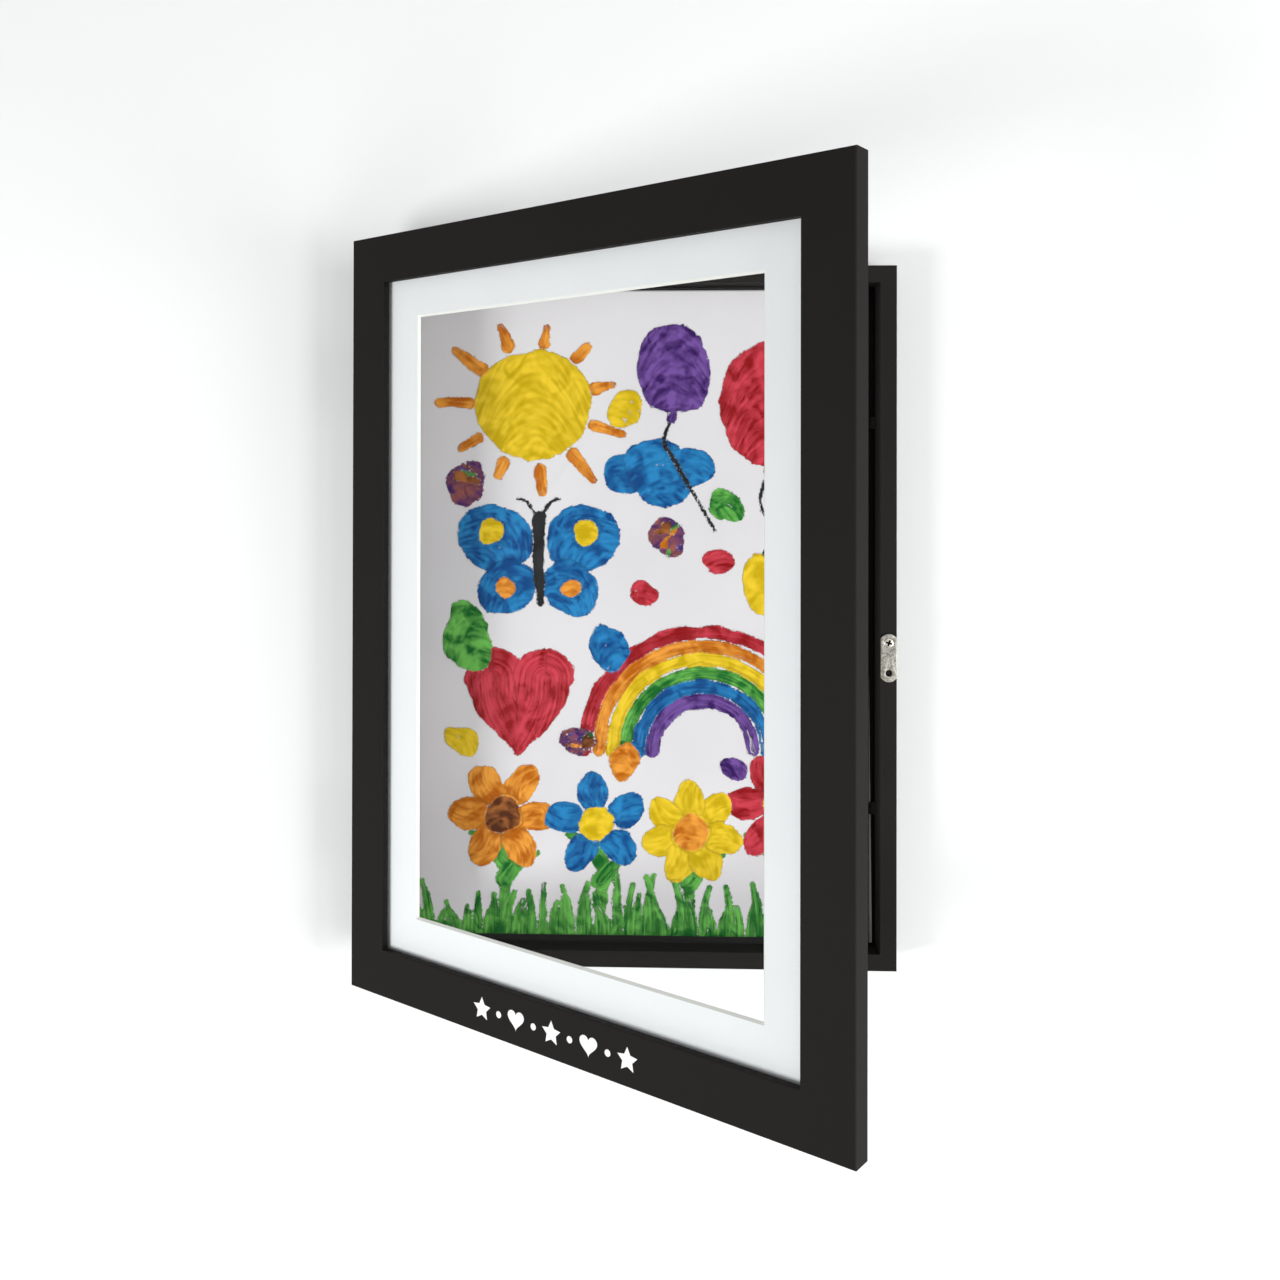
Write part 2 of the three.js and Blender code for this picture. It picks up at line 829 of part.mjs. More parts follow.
function addBoxHardware(group) {
  addMesh(group, 'strike_plate', strikePlate(), materials.nickel);
  addScrew(group, 'strike_screw', strikeScrew, strikeScrewAt, towardsFront);
  hingeEnds.forEach(([end, z], i) => {
    addLeaf(group, `${end}_hinge_box_leaf`, boxKnuckles, boxLeafTurn, z);
    const pin = addMesh(group, `${end}_hinge_pin`, pinGeometry(), materials.steel);
    pin.position.set(pinX, pinY, z);
    boxLeafScrews[i].forEach(({ at, towards }, n) => {
      addScrew(group, `${end}_hinge_box_screw_${n + 1}`, hingeScrew, at, towards);
    });
  });
}

// The door, modelled shut

const doorPointPlaces = pointPlaces({
  halfWidth: sightHalfWidth + glazingRabbet,
  halfHeight: sightHalfHeight + glazingRabbet,
  middle: doorMiddle,
  y: matBack + fitGap,
  endShares: endPointShares,
  sideShares: sidePointShares,
});
const magnetAt = new THREE.Vector3(boxSide - magnetInset, doorBack, strikeZ);

function addDoorRails(group) {
  const rails = railSet(doorSection(), {
    width: doorWidth,
    height: doorHeight,
    front: doorFront,
    middle: doorMiddle,
  });
  const tools = { top: [], bottom: [], left: [], right: [] };
  for (const place of doorPointPlaces) {
    tools[place.side].push(pointAt(place, fitGap));
  }
  for (const { at, towards } of doorLeafScrews.flat()) {
    tools.left.push(screwHole(hingeScrew, at, towards));
  }
  const bore = rod(magnetRadius + fitGap, -magnetThickness - fitGap, overrun, fineFacets);
  tools.right.push(placed(bore, magnetAt, towardsWall));
  for (const [side, geometry] of Object.entries(rails)) {
    addMesh(group, `door_rail_${side}`, cut(geometry, tools[side]), materials.blackWood);
  }
}

// A block whose front is a larger rectangle than its back
function taperedBlock(front, back, y0, y1) {
  const geometry = new THREE.BoxGeometry(1, 1, 1);
  const position = geometry.getAttribute('position');
  for (let i = 0; i < position.count; i += 1) {
    const isFront = position.getY(i) < 0;
    const half = isFront ? front : back;
    const x = Math.sign(position.getX(i)) * half.width;
    const z = Math.sign(position.getZ(i)) * half.height;
    position.setXYZ(i, x, isFront ? y0 : y1, z);
  }
  return geometry;
}

function matBoard() {
  const board = block(
    [-glazingHalfWidth, matFront, -glazingHalfHeight],
    [glazingHalfWidth, matBack, glazingHalfHeight],
  );
  const front = {
    width: sightHalfWidth - matSideBorder,
    height: sightHalfHeight - matEndBorder,
  };
  const slope = matBevel / matThickness;
  const grown = (distance) => ({
    width: front.width + distance * slope,
    height: front.height + distance * slope,
  });
  const window = taperedBlock(
    grown(overrun),
    grown(-matThickness - overrun),
    matFront - overrun,
    matBack + overrun,
  );
  return cut(board, [window]).translate(0, 0, doorMiddle);
}

function addGlazing(group) {
  const pane = block(
    [-glazingHalfWidth, paneFront, doorMiddle - glazingHalfHeight],
    [glazingHalfWidth, paneBack, doorMiddle + glazingHalfHeight],
  );
  addMesh(group, 'pane', pane, materials.pane);
  addMesh(group, 'mat_board', matBoard(), materials.mat);
  for (const place of doorPointPlaces) {
    const name = `door_point_${place.side}_${place.number}`;
    addMesh(group, name, pointAt(place, 0), materials.steel);
  }
}

function addDoorHardware(group) {
  const magnet = addMesh(group, 'magnet', magnetGeometry(), materials.magnet);
  magnet.position.copy(magnetAt);
  magnet.quaternion.setFromUnitVectors(new THREE.Vector3(0, 0, 1), towardsWall);
  hingeEnds.forEach(([end, z], i) => {
    addLeaf(group, `${end}_hinge_door_leaf`, doorKnuckles, doorLeafTurn, z);
    doorLeafScrews[i].forEach(({ at, towards }, n) => {
      addScrew(group, `${end}_hinge_door_screw_${n + 1}`, hingeScrew, at, towards);
    });
  });
}

const box = new THREE.Group();
addBoxRails(box);
addBackPanel(box);
addHangers(box);
addPaper(box);
addBoxHardware(box);

const door = new THREE.Group();
door.position.set(-pinX, -pinY, 0);
addDoorRails(door);
addGlazing(door);
addDoorHardware(door);

// The door turns about the pin line, its free edge coming away from the wall
const swing = new THREE.Group();
swing.position.set(pinX, pinY, 0);
swing.rotation.z = -openAngle;
swing.add(door);

const artFrame = new THREE.Group();
artFrame.add(box, swing);

export default artFrame;
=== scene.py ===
# %% [markdown]
# A front-opening frame for a child's pictures
#
# The frame hangs on a wall. A shallow black box stores drawings, and a picture-frame door
# with a clear pane and a white mat swings open in front of it. The solid model gives the
# place and size of every piece; this script gives each one its finish, and rebuilds the
# pieces that need a finer form than a solid model has. Every piece is built with the door
# shut, in metres, and the door's pieces are then turned open as one.

# %% Load the solid model
import json
import math
import bpy
import bmesh
import numpy as np
from mathutils import Matrix, Vector


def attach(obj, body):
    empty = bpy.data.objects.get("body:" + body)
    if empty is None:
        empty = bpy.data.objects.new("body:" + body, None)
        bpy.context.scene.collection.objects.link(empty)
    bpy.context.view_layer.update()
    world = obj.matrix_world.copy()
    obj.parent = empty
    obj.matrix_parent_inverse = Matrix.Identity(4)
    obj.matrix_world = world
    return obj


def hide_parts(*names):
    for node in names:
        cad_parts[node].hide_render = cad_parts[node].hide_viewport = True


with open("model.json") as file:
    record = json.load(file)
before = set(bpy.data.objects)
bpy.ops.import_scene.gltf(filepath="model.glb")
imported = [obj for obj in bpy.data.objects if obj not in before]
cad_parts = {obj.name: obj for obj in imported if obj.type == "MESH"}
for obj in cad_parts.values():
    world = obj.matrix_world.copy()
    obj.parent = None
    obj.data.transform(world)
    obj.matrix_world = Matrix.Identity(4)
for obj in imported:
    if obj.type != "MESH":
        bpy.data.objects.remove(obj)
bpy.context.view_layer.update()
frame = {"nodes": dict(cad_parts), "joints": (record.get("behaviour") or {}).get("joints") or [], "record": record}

# %% [markdown]
# Shut and open
#
# The model is stored with its door standing open, but a door is easiest to build shut and
# square. The hinge's place and its range are in the record, so one matrix turns a shut
# door to where it rests. `span` reads a solid's lowest and highest corner with the door
# shut, so every size below follows from the model.

# %% The door's turn, and the size of any solid
MM = 0.001
FIT = 0.3 * MM  # clearance that the solids keep between pieces that touch
hinge = frame["joints"][0]
pin = Vector(hinge["pos_m"])
opened = Matrix.Rotation(math.radians(hinge["range_deg"][0]), 4, "Z")
DOOR_OPEN = Matrix.Translation(pin) @ opened @ Matrix.Translation(-pin)
door_nodes = frame["record"]["behaviour"]["bodies"]["door"]


def corners(node):
    mesh = frame["nodes"][node].data.copy()
    if node in door_nodes:
        mesh.transform(DOOR_OPEN.inverted())
    points = [v.co.copy() for v in mesh.vertices]
    bpy.data.meshes.remove(mesh)
    return points


def span(node):
    places = np.array(corners(node))
    return Vector(places.min(axis=0)), Vector(places.max(axis=0))


def middle(node):
    low, high = span(node)
    return (low + high) / 2


def four_rails(body):
    """The lowest and the highest corner of a body's rails together."""
    lows = [span(f"{body}_rail_{side}")[0] for side in ("left", "bottom")]
    highs = [span(f"{body}_rail_{side}")[1] for side in ("right", "top")]
    return Vector(map(min, zip(*lows))), Vector(map(max, zip(*highs)))


door_low, door_high = four_rails("door")
box_low, box_high = four_rails("box")
for body, size in (("door", door_high - door_low), ("box", box_high - box_low)):
    print(f"{body}, mm:", [round(x / MM, 1) for x in size])

# %% [markdown]
# One helper for every node tree
#
# Shader trees and geometry trees are built alike: make a node, set its own properties,
# then give each socket a value or a link. One function does all of it, and a node given as
# a value means that node's first output in use. Colours are written as the sRGB hex values
# that a paint program shows, and turned to the linear values that the renderer adds up.

# %% Nodes and colours


def put(tree, kind, sockets=None, **settings):
    """Adds a node. `sockets` gives inputs by name or number: a value, or what to link."""
    node = tree.nodes.new(kind if "Node" in kind else "ShaderNode" + kind)
    for name, value in settings.items():
        setattr(node, name, value)
    for key, value in (sockets or {}).items():
        if isinstance(value, bpy.types.Node):
            value = next(output for output in value.outputs if output.enabled)
        if isinstance(value, bpy.types.NodeSocket):
            tree.links.new(value, node.inputs[key])
        else:
            node.inputs[key].default_value = value
    return node


def linear(code):
    """A hex colour such as "2B2827" as linear red, green, blue and alpha."""
    parts = [int(code[i : i + 2], 16) / 255 for i in (0, 2, 4)]
    return [p / 12.92 if p <= 0.04045 else ((p + 0.055) / 1.055) ** 2.4 for p in parts] + [1]


def per(size):
    """A texture's scale for a pattern whose features repeat every `size` millimetres."""
    return 1 / (size * MM)


def bare_tree(owner):
    """The node tree of a material or a world, emptied."""
    owner.use_nodes = True
    owner.node_tree.nodes.clear()
    return owner.node_tree


def new_material(name):
    print("material:", name)
    material = bpy.data.materials.new(name)
    return material, bare_tree(material)


print("black-brown in linear light:", [round(c, 4) for c in linear("2B2827")])

# %% [markdown]
# Satin lacquer on MDF
#
# The mouldings are sprayed black-brown over MDF. Two things tell the eye that it is paint
# and not plastic: the sheen wanders a little from place to place, and under a low light
# there is a fine pebble called orange peel, about 0.7 mm across, over the faint lines of
# the primed wood. The lines run along each rail, so they read a UV map named `grain`, laid
# along the rail in metres. The paint's own colour is darker than it looks, because its
# sheen adds the pale room to it.

# %% Lacquer
lacquer, tree = new_material("satin_black_lacquer_on_mdf")
place = put(tree, "TexCoord").outputs["Object"]
grain = put(tree, "UVMap", uv_map="grain")
drawn_out = put(tree, "Mapping", {0: grain, "Scale": (0.02, 1, 1)})
lines = put(tree, "TexNoise", {"Vector": drawn_out, "Scale": per(0.9), "Detail": 3})
peel = put(tree, "TexNoise", {"Vector": place, "Scale": per(0.7), "Detail": 1})
cloud = put(tree, "TexNoise", {"Vector": place, "Scale": per(45), "Detail": 3})
tint = put(tree, "Mix", {"Factor": cloud, 6: linear("1C1A19"), 7: linear("232120")}, data_type="RGBA")
sheen = put(tree, "MapRange", {0: cloud, "From Min": 0.3, "From Max": 0.7, 3: 0.56, 4: 0.66})
pebbled = put(tree, "Bump", {"Height": peel, "Strength": 0.05, "Distance": 0.05 * MM})
lined = put(tree, "Bump", {"Height": lines, "Strength": 0.08, "Distance": 0.04 * MM, "Normal": pebbled})
finish = {"Base Color": tint, "Roughness": sheen, "Normal": lined, "Specular IOR Level": 0.05}
put(tree, "OutputMaterial", {"Surface": put(tree, "BsdfPrincipled", finish)})

# %% [markdown]
# Card, paper and board
#
# Mat board, mounting card and hardboard are all pressed fibre. They differ in colour
# and in the size of their tooth, the small bumps that catch pencil and light. Mat board
# has a cool-white face on a slightly warmer core, and the core shows where the window is
# cut. The card behind the drawing is black, and frames the sheet with a thin dark line.
# The hardboard is raw brown on the back and near black on the side that faces the tray,
# where a strip of it can show beside the card: there `inside` colours what looks that way.
# One function makes all of them from two shades and a tooth size.

# %% Fibre boards and papers


def fibre(name, shade, light, tooth, depth, rough=0.88, inside=None):
    material, tree = new_material(name)
    place = put(tree, "TexCoord")
    surface = place.outputs["Object"]
    fine = put(tree, "TexNoise", {"Vector": surface, "Scale": per(tooth), "Detail": 4})
    broad = put(tree, "TexNoise", {"Vector": surface, "Scale": per(tooth * 60), "Detail": 2})
    both = put(tree, "Math", {0: broad, 1: 0.3, 2: fine}, operation="MULTIPLY_ADD")
    share = put(tree, "MapRange", {0: both, "From Min": 0.45, "From Max": 0.85})
    colour = put(tree, "Mix", {"Factor": share, 6: linear(shade), 7: linear(light)}, data_type="RGBA")
    if inside:
        way = put(tree, "SeparateXYZ", {0: place.outputs["Normal"]})
        inner = put(tree, "Math", {0: way.outputs["Y"], 1: -0.5}, operation="LESS_THAN")
        colour = put(tree, "Mix", {"Factor": inner, 6: colour, 7: linear(inside)}, data_type="RGBA")
    bump = put(tree, "Bump", {"Height": fine, "Strength": 0.35, "Distance": depth * MM})
    finish = {"Base Color": colour, "Normal": bump, "Roughness": rough, "Specular IOR Level": 0.3}
    put(tree, "OutputMaterial", {"Surface": put(tree, "BsdfPrincipled", finish)})
    return material


mat_face = fibre("cool_white_mat_board", "F2F3F5", "F8F9FA", 0.5, 0.03)
mat_core = fibre("pale_mat_core", "EBEBE6", "F4F4EF", 0.3, 0.05)
black_card = fibre("black_mounting_card", "161515", "201F1F", 0.6, 0.03)
raw_hardboard = fibre("raw_brown_hardboard", "7A5B3C", "9C7A54", 1.1, 0.15, 0.8, "151413")

# %% [markdown]
# Sheets in a stack
#
# Spare drawings are ordinary cartridge paper, and no two sheets have quite the same white.
# Each sheet carries a number of its own, named `tone`, that picks its shade. A few are
# pastel sugar paper.

# %% Stacked paper
stacked_paper, tree = new_material("cartridge_paper_in_a_stack")
tone = put(tree, "Attribute", attribute_name="tone")
shades = put(tree, "ValToRGB", {"Fac": tone.outputs["Fac"]})
ramp = shades.color_ramp
ramp.interpolation = "CONSTANT"
ramp.elements.remove(ramp.elements[1])
ramp.elements[0].color = linear("E6E4E2")
pastels = ((0.82, "F0E3B4"), (0.88, "BFD7E6"))
for position, code in ((0.3, "DDDAD6"), (0.55, "EDEBE9"), *pastels, (0.94, "E3E1DE")):
    ramp.elements.new(position).color = linear(code)
place = put(tree, "TexCoord").outputs["Object"]
tooth = put(tree, "TexNoise", {"Vector": place, "Scale": per(0.5), "Detail": 3})
bump = put(tree, "Bump", {"Height": tooth, "Strength": 0.3, "Distance": 0.03 * MM})
finish = {"Base Color": shades, "Normal": bump, "Roughness": 0.9, "Specular IOR Level": 0.3}
put(tree, "OutputMaterial", {"Surface": put(tree, "BsdfPrincipled", finish)})

# %% [markdown]
# Metals
#
# The strike plate, the hinge screws and the nails have dull nickel that has been handled:
# speckled, with brighter scuffs. The plate's screw and the hangers are brighter, and the
# magnet is nearly a mirror. The hinges are zinc, a bluer grey whose crystals, the spangle,
# are a few millimetres wide, and the glazing tabs are bright spring steel. Metals get
# their colour from reflections, so what varies is mostly the roughness. The cross of a
# screw is painted near black, as a painted shade for its deep, narrow recess: the attribute
# `recess` marks those faces, and a piece without it reads zero.

# %% Plated steels


def plated(name, shade, light, speckle, rough, contrast=0.12):
    material, tree = new_material(name)
    place = put(tree, "TexCoord").outputs["Object"]
    spots = put(tree, "TexVoronoi", {"Vector": place, "Scale": per(speckle)})
    haze = put(tree, "TexNoise", {"Vector": place, "Scale": per(speckle * 1.6), "Detail": 5})
    mixed = put(tree, "Math", {0: spots.outputs["Color"], 1: haze}, operation="MULTIPLY")
    share = put(tree, "MapRange", {0: mixed, "From Min": 0.1, "From Max": 0.45})
    colour = put(tree, "Mix", {"Factor": share, 6: linear(shade), 7: linear(light)}, data_type="RGBA")
    recess = put(tree, "Attribute", attribute_name="recess").outputs["Fac"]
    # Faces marked `recess` are painted near black: a painted shade in the cross of a screw.
    recess_painted_shade = put(tree, "Mix", {"Factor": recess, 6: colour, 7: linear("1C1A17")}, data_type="RGBA")
    dull = put(tree, "MapRange", {0: haze, "From Min": 0.3, "From Max": 0.7, 3: rough, 4: rough + contrast})
    bump = put(tree, "Bump", {"Height": haze, "Strength": 0.25, "Distance": 0.03 * MM})
    finish = {"Base Color": recess_painted_shade, "Roughness": dull, "Normal": bump, "Metallic": 1}
    put(tree, "OutputMaterial", {"Surface": put(tree, "BsdfPrincipled", finish)})
    return material


nickel = plated("handled_dull_nickel", "7A7770", "AAA79F", 0.7, 0.36)
bright_nickel = plated("bright_nickel", "B4B0A7", "D6D2CA", 0.6, 0.26)
zinc = plated("zinc_plated_steel", "8C9094", "B9BCBE", 2.4, 0.3)
spring = plated("bright_spring_steel", "9C9C9C", "C2C2C0", 1.2, 0.22)
mirror_nickel = plated("bright_nickel_on_magnet", "BDBDBB", "D2D2D0", 1.5, 0.12, 0.08)

# %% [markdown]
# Woven elastic
#
# The two straps are flat braided elastic: rubber cords lie side by side and fine polyester
# yarn crosses them. The cords are real geometry further down. The yarn, every 0.8 mm here
# where the real one has two or three in that space, is drawn coarse enough to show.

# %% Elastic
elastic, tree = new_material("woven_black_elastic")
place = put(tree, "TexCoord").outputs["Object"]
bands = {"Vector": place, "Scale": per(0.8) / 20, "Distortion": 1.5, "Detail": 2}
yarn = put(tree, "TexWave", bands, bands_direction="X").outputs["Fac"]
shade = put(tree, "Mix", {"Factor": yarn, 6: linear("070708"), 7: linear("121214")}, data_type="RGBA")
bump = put(tree, "Bump", {"Height": yarn, "Strength": 0.6, "Distance": 0.08 * MM})
soft = {"Roughness": 0.75, "Specular IOR Level": 0.2, "Sheen Weight": 0.05}
finish = {"Base Color": shade, "Normal": bump, **soft}
put(tree, "OutputMaterial", {"Surface": put(tree, "BsdfPrincipled", finish)})

# %% [markdown]
# The clear pane
#
# The pane is a thin acrylic sheet with a coating against glare. What the eye gets from it
# is a faint reflection that grows towards a grazing angle, while everything behind stays
# clear. Bending light through a sheet this thin can't be seen, so it is a mix of a
# transparent and a glossy shader, by Fresnel. Lamps shine through such a mix, and the mat
# behind it is lit as it should be. The coating is the low index of refraction. A ray that
# isn't bent meets the far surface too flat and would be held inside, so the mirror acts
# where a ray enters and not where it leaves. Wiping leaves faint smears, which blur the
# reflection here and there.

# %% Acrylic
acrylic, tree = new_material("coated_clear_acrylic")
clear = put(tree, "BsdfTransparent", {"Color": (0.985, 0.992, 0.99, 1)})
place = put(tree, "TexCoord").outputs["Object"]
wiped = put(tree, "Mapping", {0: place, "Rotation": (0, 0.6, 0), "Scale": (1, 1, 0.3)})
smears = put(tree, "TexNoise", {"Vector": wiped, "Scale": per(14), "Detail": 4})
blur = put(tree, "MapRange", {0: smears, "From Min": 0.4, "From Max": 0.7, 3: 0.02, 4: 0.06})
gloss = put(tree, "BsdfGlossy", {"Roughness": blur})
angle = put(tree, "Fresnel", {"IOR": 1.15})
mix = put(tree, "MixShader", {0: angle, 1: clear, 2: gloss})
way = put(tree, "NewGeometry")
entering = put(tree, "MixShader", {0: way.outputs["Backfacing"], 1: mix, 2: clear})
put(tree, "OutputMaterial", {"Surface": entering})
print("acrylic nodes:", len(tree.nodes))

# %% [markdown]
# From points to a finished piece
#
# A few short functions carry every piece from here on. `piece_from` makes a mesh of points
# and faces and points its faces outwards, and `prism` does it for a solid between two
# outlines. `made_plain` replaces an object by what its modifiers show, and `combined` cuts
# others out of a piece or joins them to it. `turned` makes anything round. `settle` opens
# the door's pieces, ties a piece to its body, and hides the solids that it stands for.

# %% Making pieces


def in_scene(name, data):
    made = bpy.data.objects.new(name, data)
    bpy.context.scene.collection.objects.link(made)
    return made


def reworked(mesh, change):
    """Runs a change on a mesh in its editable form."""
    work = bmesh.new()
    work.from_mesh(mesh)
    change(work)
    work.to_mesh(mesh)
    work.free()


def face_outwards(work):
    bmesh.ops.recalc_face_normals(work, faces=work.faces)


def piece_from(name, points, faces, *materials):
    mesh = bpy.data.meshes.new(name)
    mesh.from_pydata([tuple(p) for p in points], [], faces)
    for material in materials:
        mesh.materials.append(material)
    reworked(mesh, face_outwards)
    return in_scene(name, mesh)


def between(low, high):
    """The faces between two rings of points. A ring may be one point."""
    count = max(len(low), len(high))
    faces = []
    for i in range(count):
        j = (i + 1) % count
        face = [low[i % len(low)], low[j % len(low)], high[j % len(high)], high[i % len(high)]]
        faces.append(list(dict.fromkeys(face)))
    return faces


def prism(name, low, high, *materials):
    """A solid between two outlines of as many points."""
    ends = range(len(low)), range(len(low), 2 * len(low))
    return piece_from(name, [*low, *high], [*map(list, ends), *between(*ends)], *materials)


def smooth(piece, degrees=30):
    """Rounds the shading, but for edges sharper than that."""
    piece.data.polygons.foreach_set("use_smooth", [True] * len(piece.data.polygons))
    piece.data.set_sharp_from_angle(angle=math.radians(degrees))
    return piece

# %% Turned pieces


def turned(name, profile, facets, material):
    """A solid of revolution about +Z, from (radius, height) pairs that start and end on it."""
    points, rings = [], []
    for radius, height in profile:
        count = facets if radius > 0 else 1
        rings.append(range(len(points), len(points) + count))
        for i in range(count):
            a = 2 * math.pi * i / count
            points.append((radius * math.cos(a), radius * math.sin(a), height))
    faces = [face for low, high in zip(rings, rings[1:]) for face in between(low, high)]
    return smooth(piece_from(name, points, faces, material))

# %% Finishing pieces


def made_plain(piece, name):
    graph = bpy.context.evaluated_depsgraph_get()
    mesh = bpy.data.meshes.new_from_object(
        piece.evaluated_get(graph), preserve_all_data_layers=True, depsgraph=graph
    )
    bpy.data.objects.remove(piece)
    return in_scene(name, mesh)


def combined(piece, others, operation="DIFFERENCE"):
    """The piece less the others, or joined with them. The others are thrown away."""
    name = piece.name
    for other in others:
        modifier = piece.modifiers.new("combine", "BOOLEAN")
        modifier.operation = operation
        modifier.solver = "EXACT"
        modifier.object = other
    if others:
        piece = made_plain(piece, name)
    for other in others:
        bpy.data.objects.remove(other)
    return piece


def settle(piece, body, slot, *nodes):
    if body == "door":
        piece.data.transform(DOOR_OPEN)
    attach(piece, body)
    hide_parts(*nodes)
    print(f"{piece.name}: {len(piece.data.polygons)} faces on {body}")

# %% [markdown]
# Mitred mouldings
#
# A moulding is one section carried along a straight rail and cut at 45 degrees at both
# ends. So a rail needs only its section's points twice: the further a point lies in from
# the outer edge, the sooner the mitre cuts it. A section lists its points as distance in
# from the outer edge and distance back from the front face. The corners are eased with
# small arcs, because a sharp edge never catches light the way that sanded paint does.

# %% Sections


def arc(x, y, radius, start, end, steps=4):
    turns = np.radians(np.linspace(start, end, steps + 1))
    return [(x + radius * math.cos(a), y + radius * math.sin(a)) for a in turns]


pane_low, pane_high = span("pane")
mat_low, mat_high = span("mat_board")
panel_low, panel_high = span("back_panel")
door_rail = door_high.z - span("door_rail_top")[0].z
box_rail = box_high.z - span("box_rail_top")[0].z
door_thickness = door_high.y - door_low.y
box_depth = box_high.y - box_low.y
lip = pane_low.y - FIT - door_low.y
rabbet = pane_high.x + FIT - (door_high.x - door_rail)
back_land = box_high.x - panel_high.x - FIT
panel_step = panel_low.y - box_low.y

OUTER_EASE = 0.8 * MM
INNER_EASE = 0.35 * MM
door_section = [
    *arc(OUTER_EASE, OUTER_EASE, OUTER_EASE, 180, 270),
    *arc(door_rail - INNER_EASE, INNER_EASE, INNER_EASE, 270, 360),
    (door_rail, lip),
    (door_rail - rabbet, lip),
    (door_rail - rabbet, door_thickness),
    *arc(INNER_EASE, door_thickness - INNER_EASE, INNER_EASE, 90, 180),
]
box_section = [
    *arc(INNER_EASE, INNER_EASE, INNER_EASE, 180, 270),
    *arc(box_rail - INNER_EASE, INNER_EASE, INNER_EASE, 270, 360),
    (box_rail, panel_step),
    (back_land, panel_step),
    (back_land, box_depth),
    (0, box_depth),
]
print(f"door rail {door_rail / MM:.1f} mm, lip {lip / MM:.1f} mm, rabbet {rabbet / MM:.1f} mm")

# %% [markdown]
# Cutting the rails, and their grain
#
# The magnet sits in a bore and the straps end in slots, so those are cut with Boolean
# modifiers. The grain map comes last, from the finished faces: along the rail one way, and
# across whichever way the face lies.

# %% Rails
INWARD = {"top": (0, 0, -1), "bottom": (0, 0, 1), "left": (1, 0, 0), "right": (-1, 0, 0)}
magnet_low, magnet_high = span("magnet")
magnet_radius = (magnet_high.x - magnet_low.x) / 2
magnet_depth = magnet_high.y - magnet_low.y


def mitred_rail(name, section, side, low, high):
    inward = Vector(INWARD[side])
    along = Vector((0, 0, 1)) if inward.x else Vector((1, 0, 0))
    size = high - low
    edge = (low + high) / 2 - Vector((inward.x * size.x, 0, inward.z * size.z)) / 2
    half = abs(along.dot(size)) / 2
    ends = []
    for end in (-1, 1):
        places = [(edge + inward * x + along * end * (half - x), y) for x, y in section]
        ends.append([(at.x, low.y + y, at.z) for at, y in places])
    return prism(name, *ends, lacquer)


def grain_map(piece, along):
    mesh = piece.data
    layer = mesh.uv_layers.new(name="grain")
    for face in mesh.polygons:
        across = min((i for i in range(3) if i != along), key=lambda i: abs(face.normal[i]))
        for loop in face.loop_indices:
            place = mesh.vertices[mesh.loops[loop].vertex_index].co
            layer.data[loop].uv = (place[along], place[across])


def magnet_bore():
    radius = magnet_radius + FIT
    profile = [(0, -magnet_depth - FIT), (radius, -magnet_depth - FIT), (radius, MM), (0, MM)]
    bore = turned("bore", profile, 48, lacquer)
    centre = Matrix.Translation((middle("magnet").x, magnet_high.y, middle("magnet").z))
    bore.data.transform(centre @ Matrix.Rotation(-math.pi / 2, 4, "X"))
    return bore


def strap_slot(end):
    low, high = span(f"elastic_strap_{end}")
    (x0, y0, z0), (x1, y1, z1) = low - Vector((FIT, FIT, FIT)), high + Vector((FIT, FIT, FIT))
    outline = ((x0, y0), (x1, y0), (x1, y1), (x0, y1))
    return prism("slot", *[[(x, y, z) for x, y in outline] for z in (z0, z1)])

# %% The eight rails
for side, inward in INWARD.items():
    slots = [strap_slot(end) for end in ("upper", "lower")] if inward[0] else []
    bores = [magnet_bore()] if side == "right" else []
    for body, section, low, high, cutters in (
        ("box", box_section, box_low, box_high, slots),
        ("door", door_section, door_low, door_high, bores),
    ):
        rail = combined(mitred_rail(f"{body}_moulding_{side}", section, side, low, high), cutters)
        grain_map(rail, 2 if inward[0] else 0)
        settle(rail, body, "black_wood", f"{body}_rail_{side}")

# %% [markdown]
# The mat and the pane
#
# The mat is a board with a window cut by a slanted blade, so its section has one sloping
# side, and that side shows the core. It is the same idea as the mouldings, but all the way
# round in one piece: four corners for every point of the section. The pane, the back panel
# and the two cards are plain cut sheets, so their solids stay and only get a finish.

# %% Mat
EDGE_EASE = 0.12 * MM
centre = (mat_low + mat_high) / 2
board = mat_high - centre


def borders(points):
    """How far in the window's corners lie from the board's sides and ends."""
    return board.x - min(abs(p.x) for p in points), board.z - min(abs(p.z) for p in points)


mat_points = [point - centre for point in corners("mat_board")]
side_front, end_front = borders([p for p in mat_points if p.y < 0])
side_back, end_back = borders([p for p in mat_points if p.y > 0])
mat_section = [
    (0, 0, 0),
    (side_front - EDGE_EASE, end_front - EDGE_EASE, 0),
    (side_front, end_front, EDGE_EASE),
    (side_back, end_back, 2 * board.y),
    (0, 0, 2 * board.y),
]
CORE_SIDES = (1, 2, 4)  # the window's cut and the outer edge
count = len(mat_section)
points = []
for sx, sz in ((-1, -1), (1, -1), (1, 1), (-1, 1)):
    for side_in, end_in, back in mat_section:
        x, z = sx * (board.x - side_in), sz * (board.z - end_in)
        points.append((centre.x + x, mat_low.y + back, centre.z + z))
rings = [range(corner * count, (corner + 1) * count) for corner in range(4)]
faces = [face for ring, following in zip(rings, rings[1:] + rings[:1]) for face in between(ring, following)]
mat = piece_from("bevelled_mat", points, faces, mat_face, mat_core)
for number, face in enumerate(mat.data.polygons):
    face.material_index = int(number % count in CORE_SIDES)
settle(mat, "door", "white_mat", "mat_board")
sheets = {"pane": acrylic, "back_panel": raw_hardboard, "backing_card": black_card, "mount_card": black_card}
for node, material in sheets.items():
    frame["nodes"][node].material_slots[0].material = material
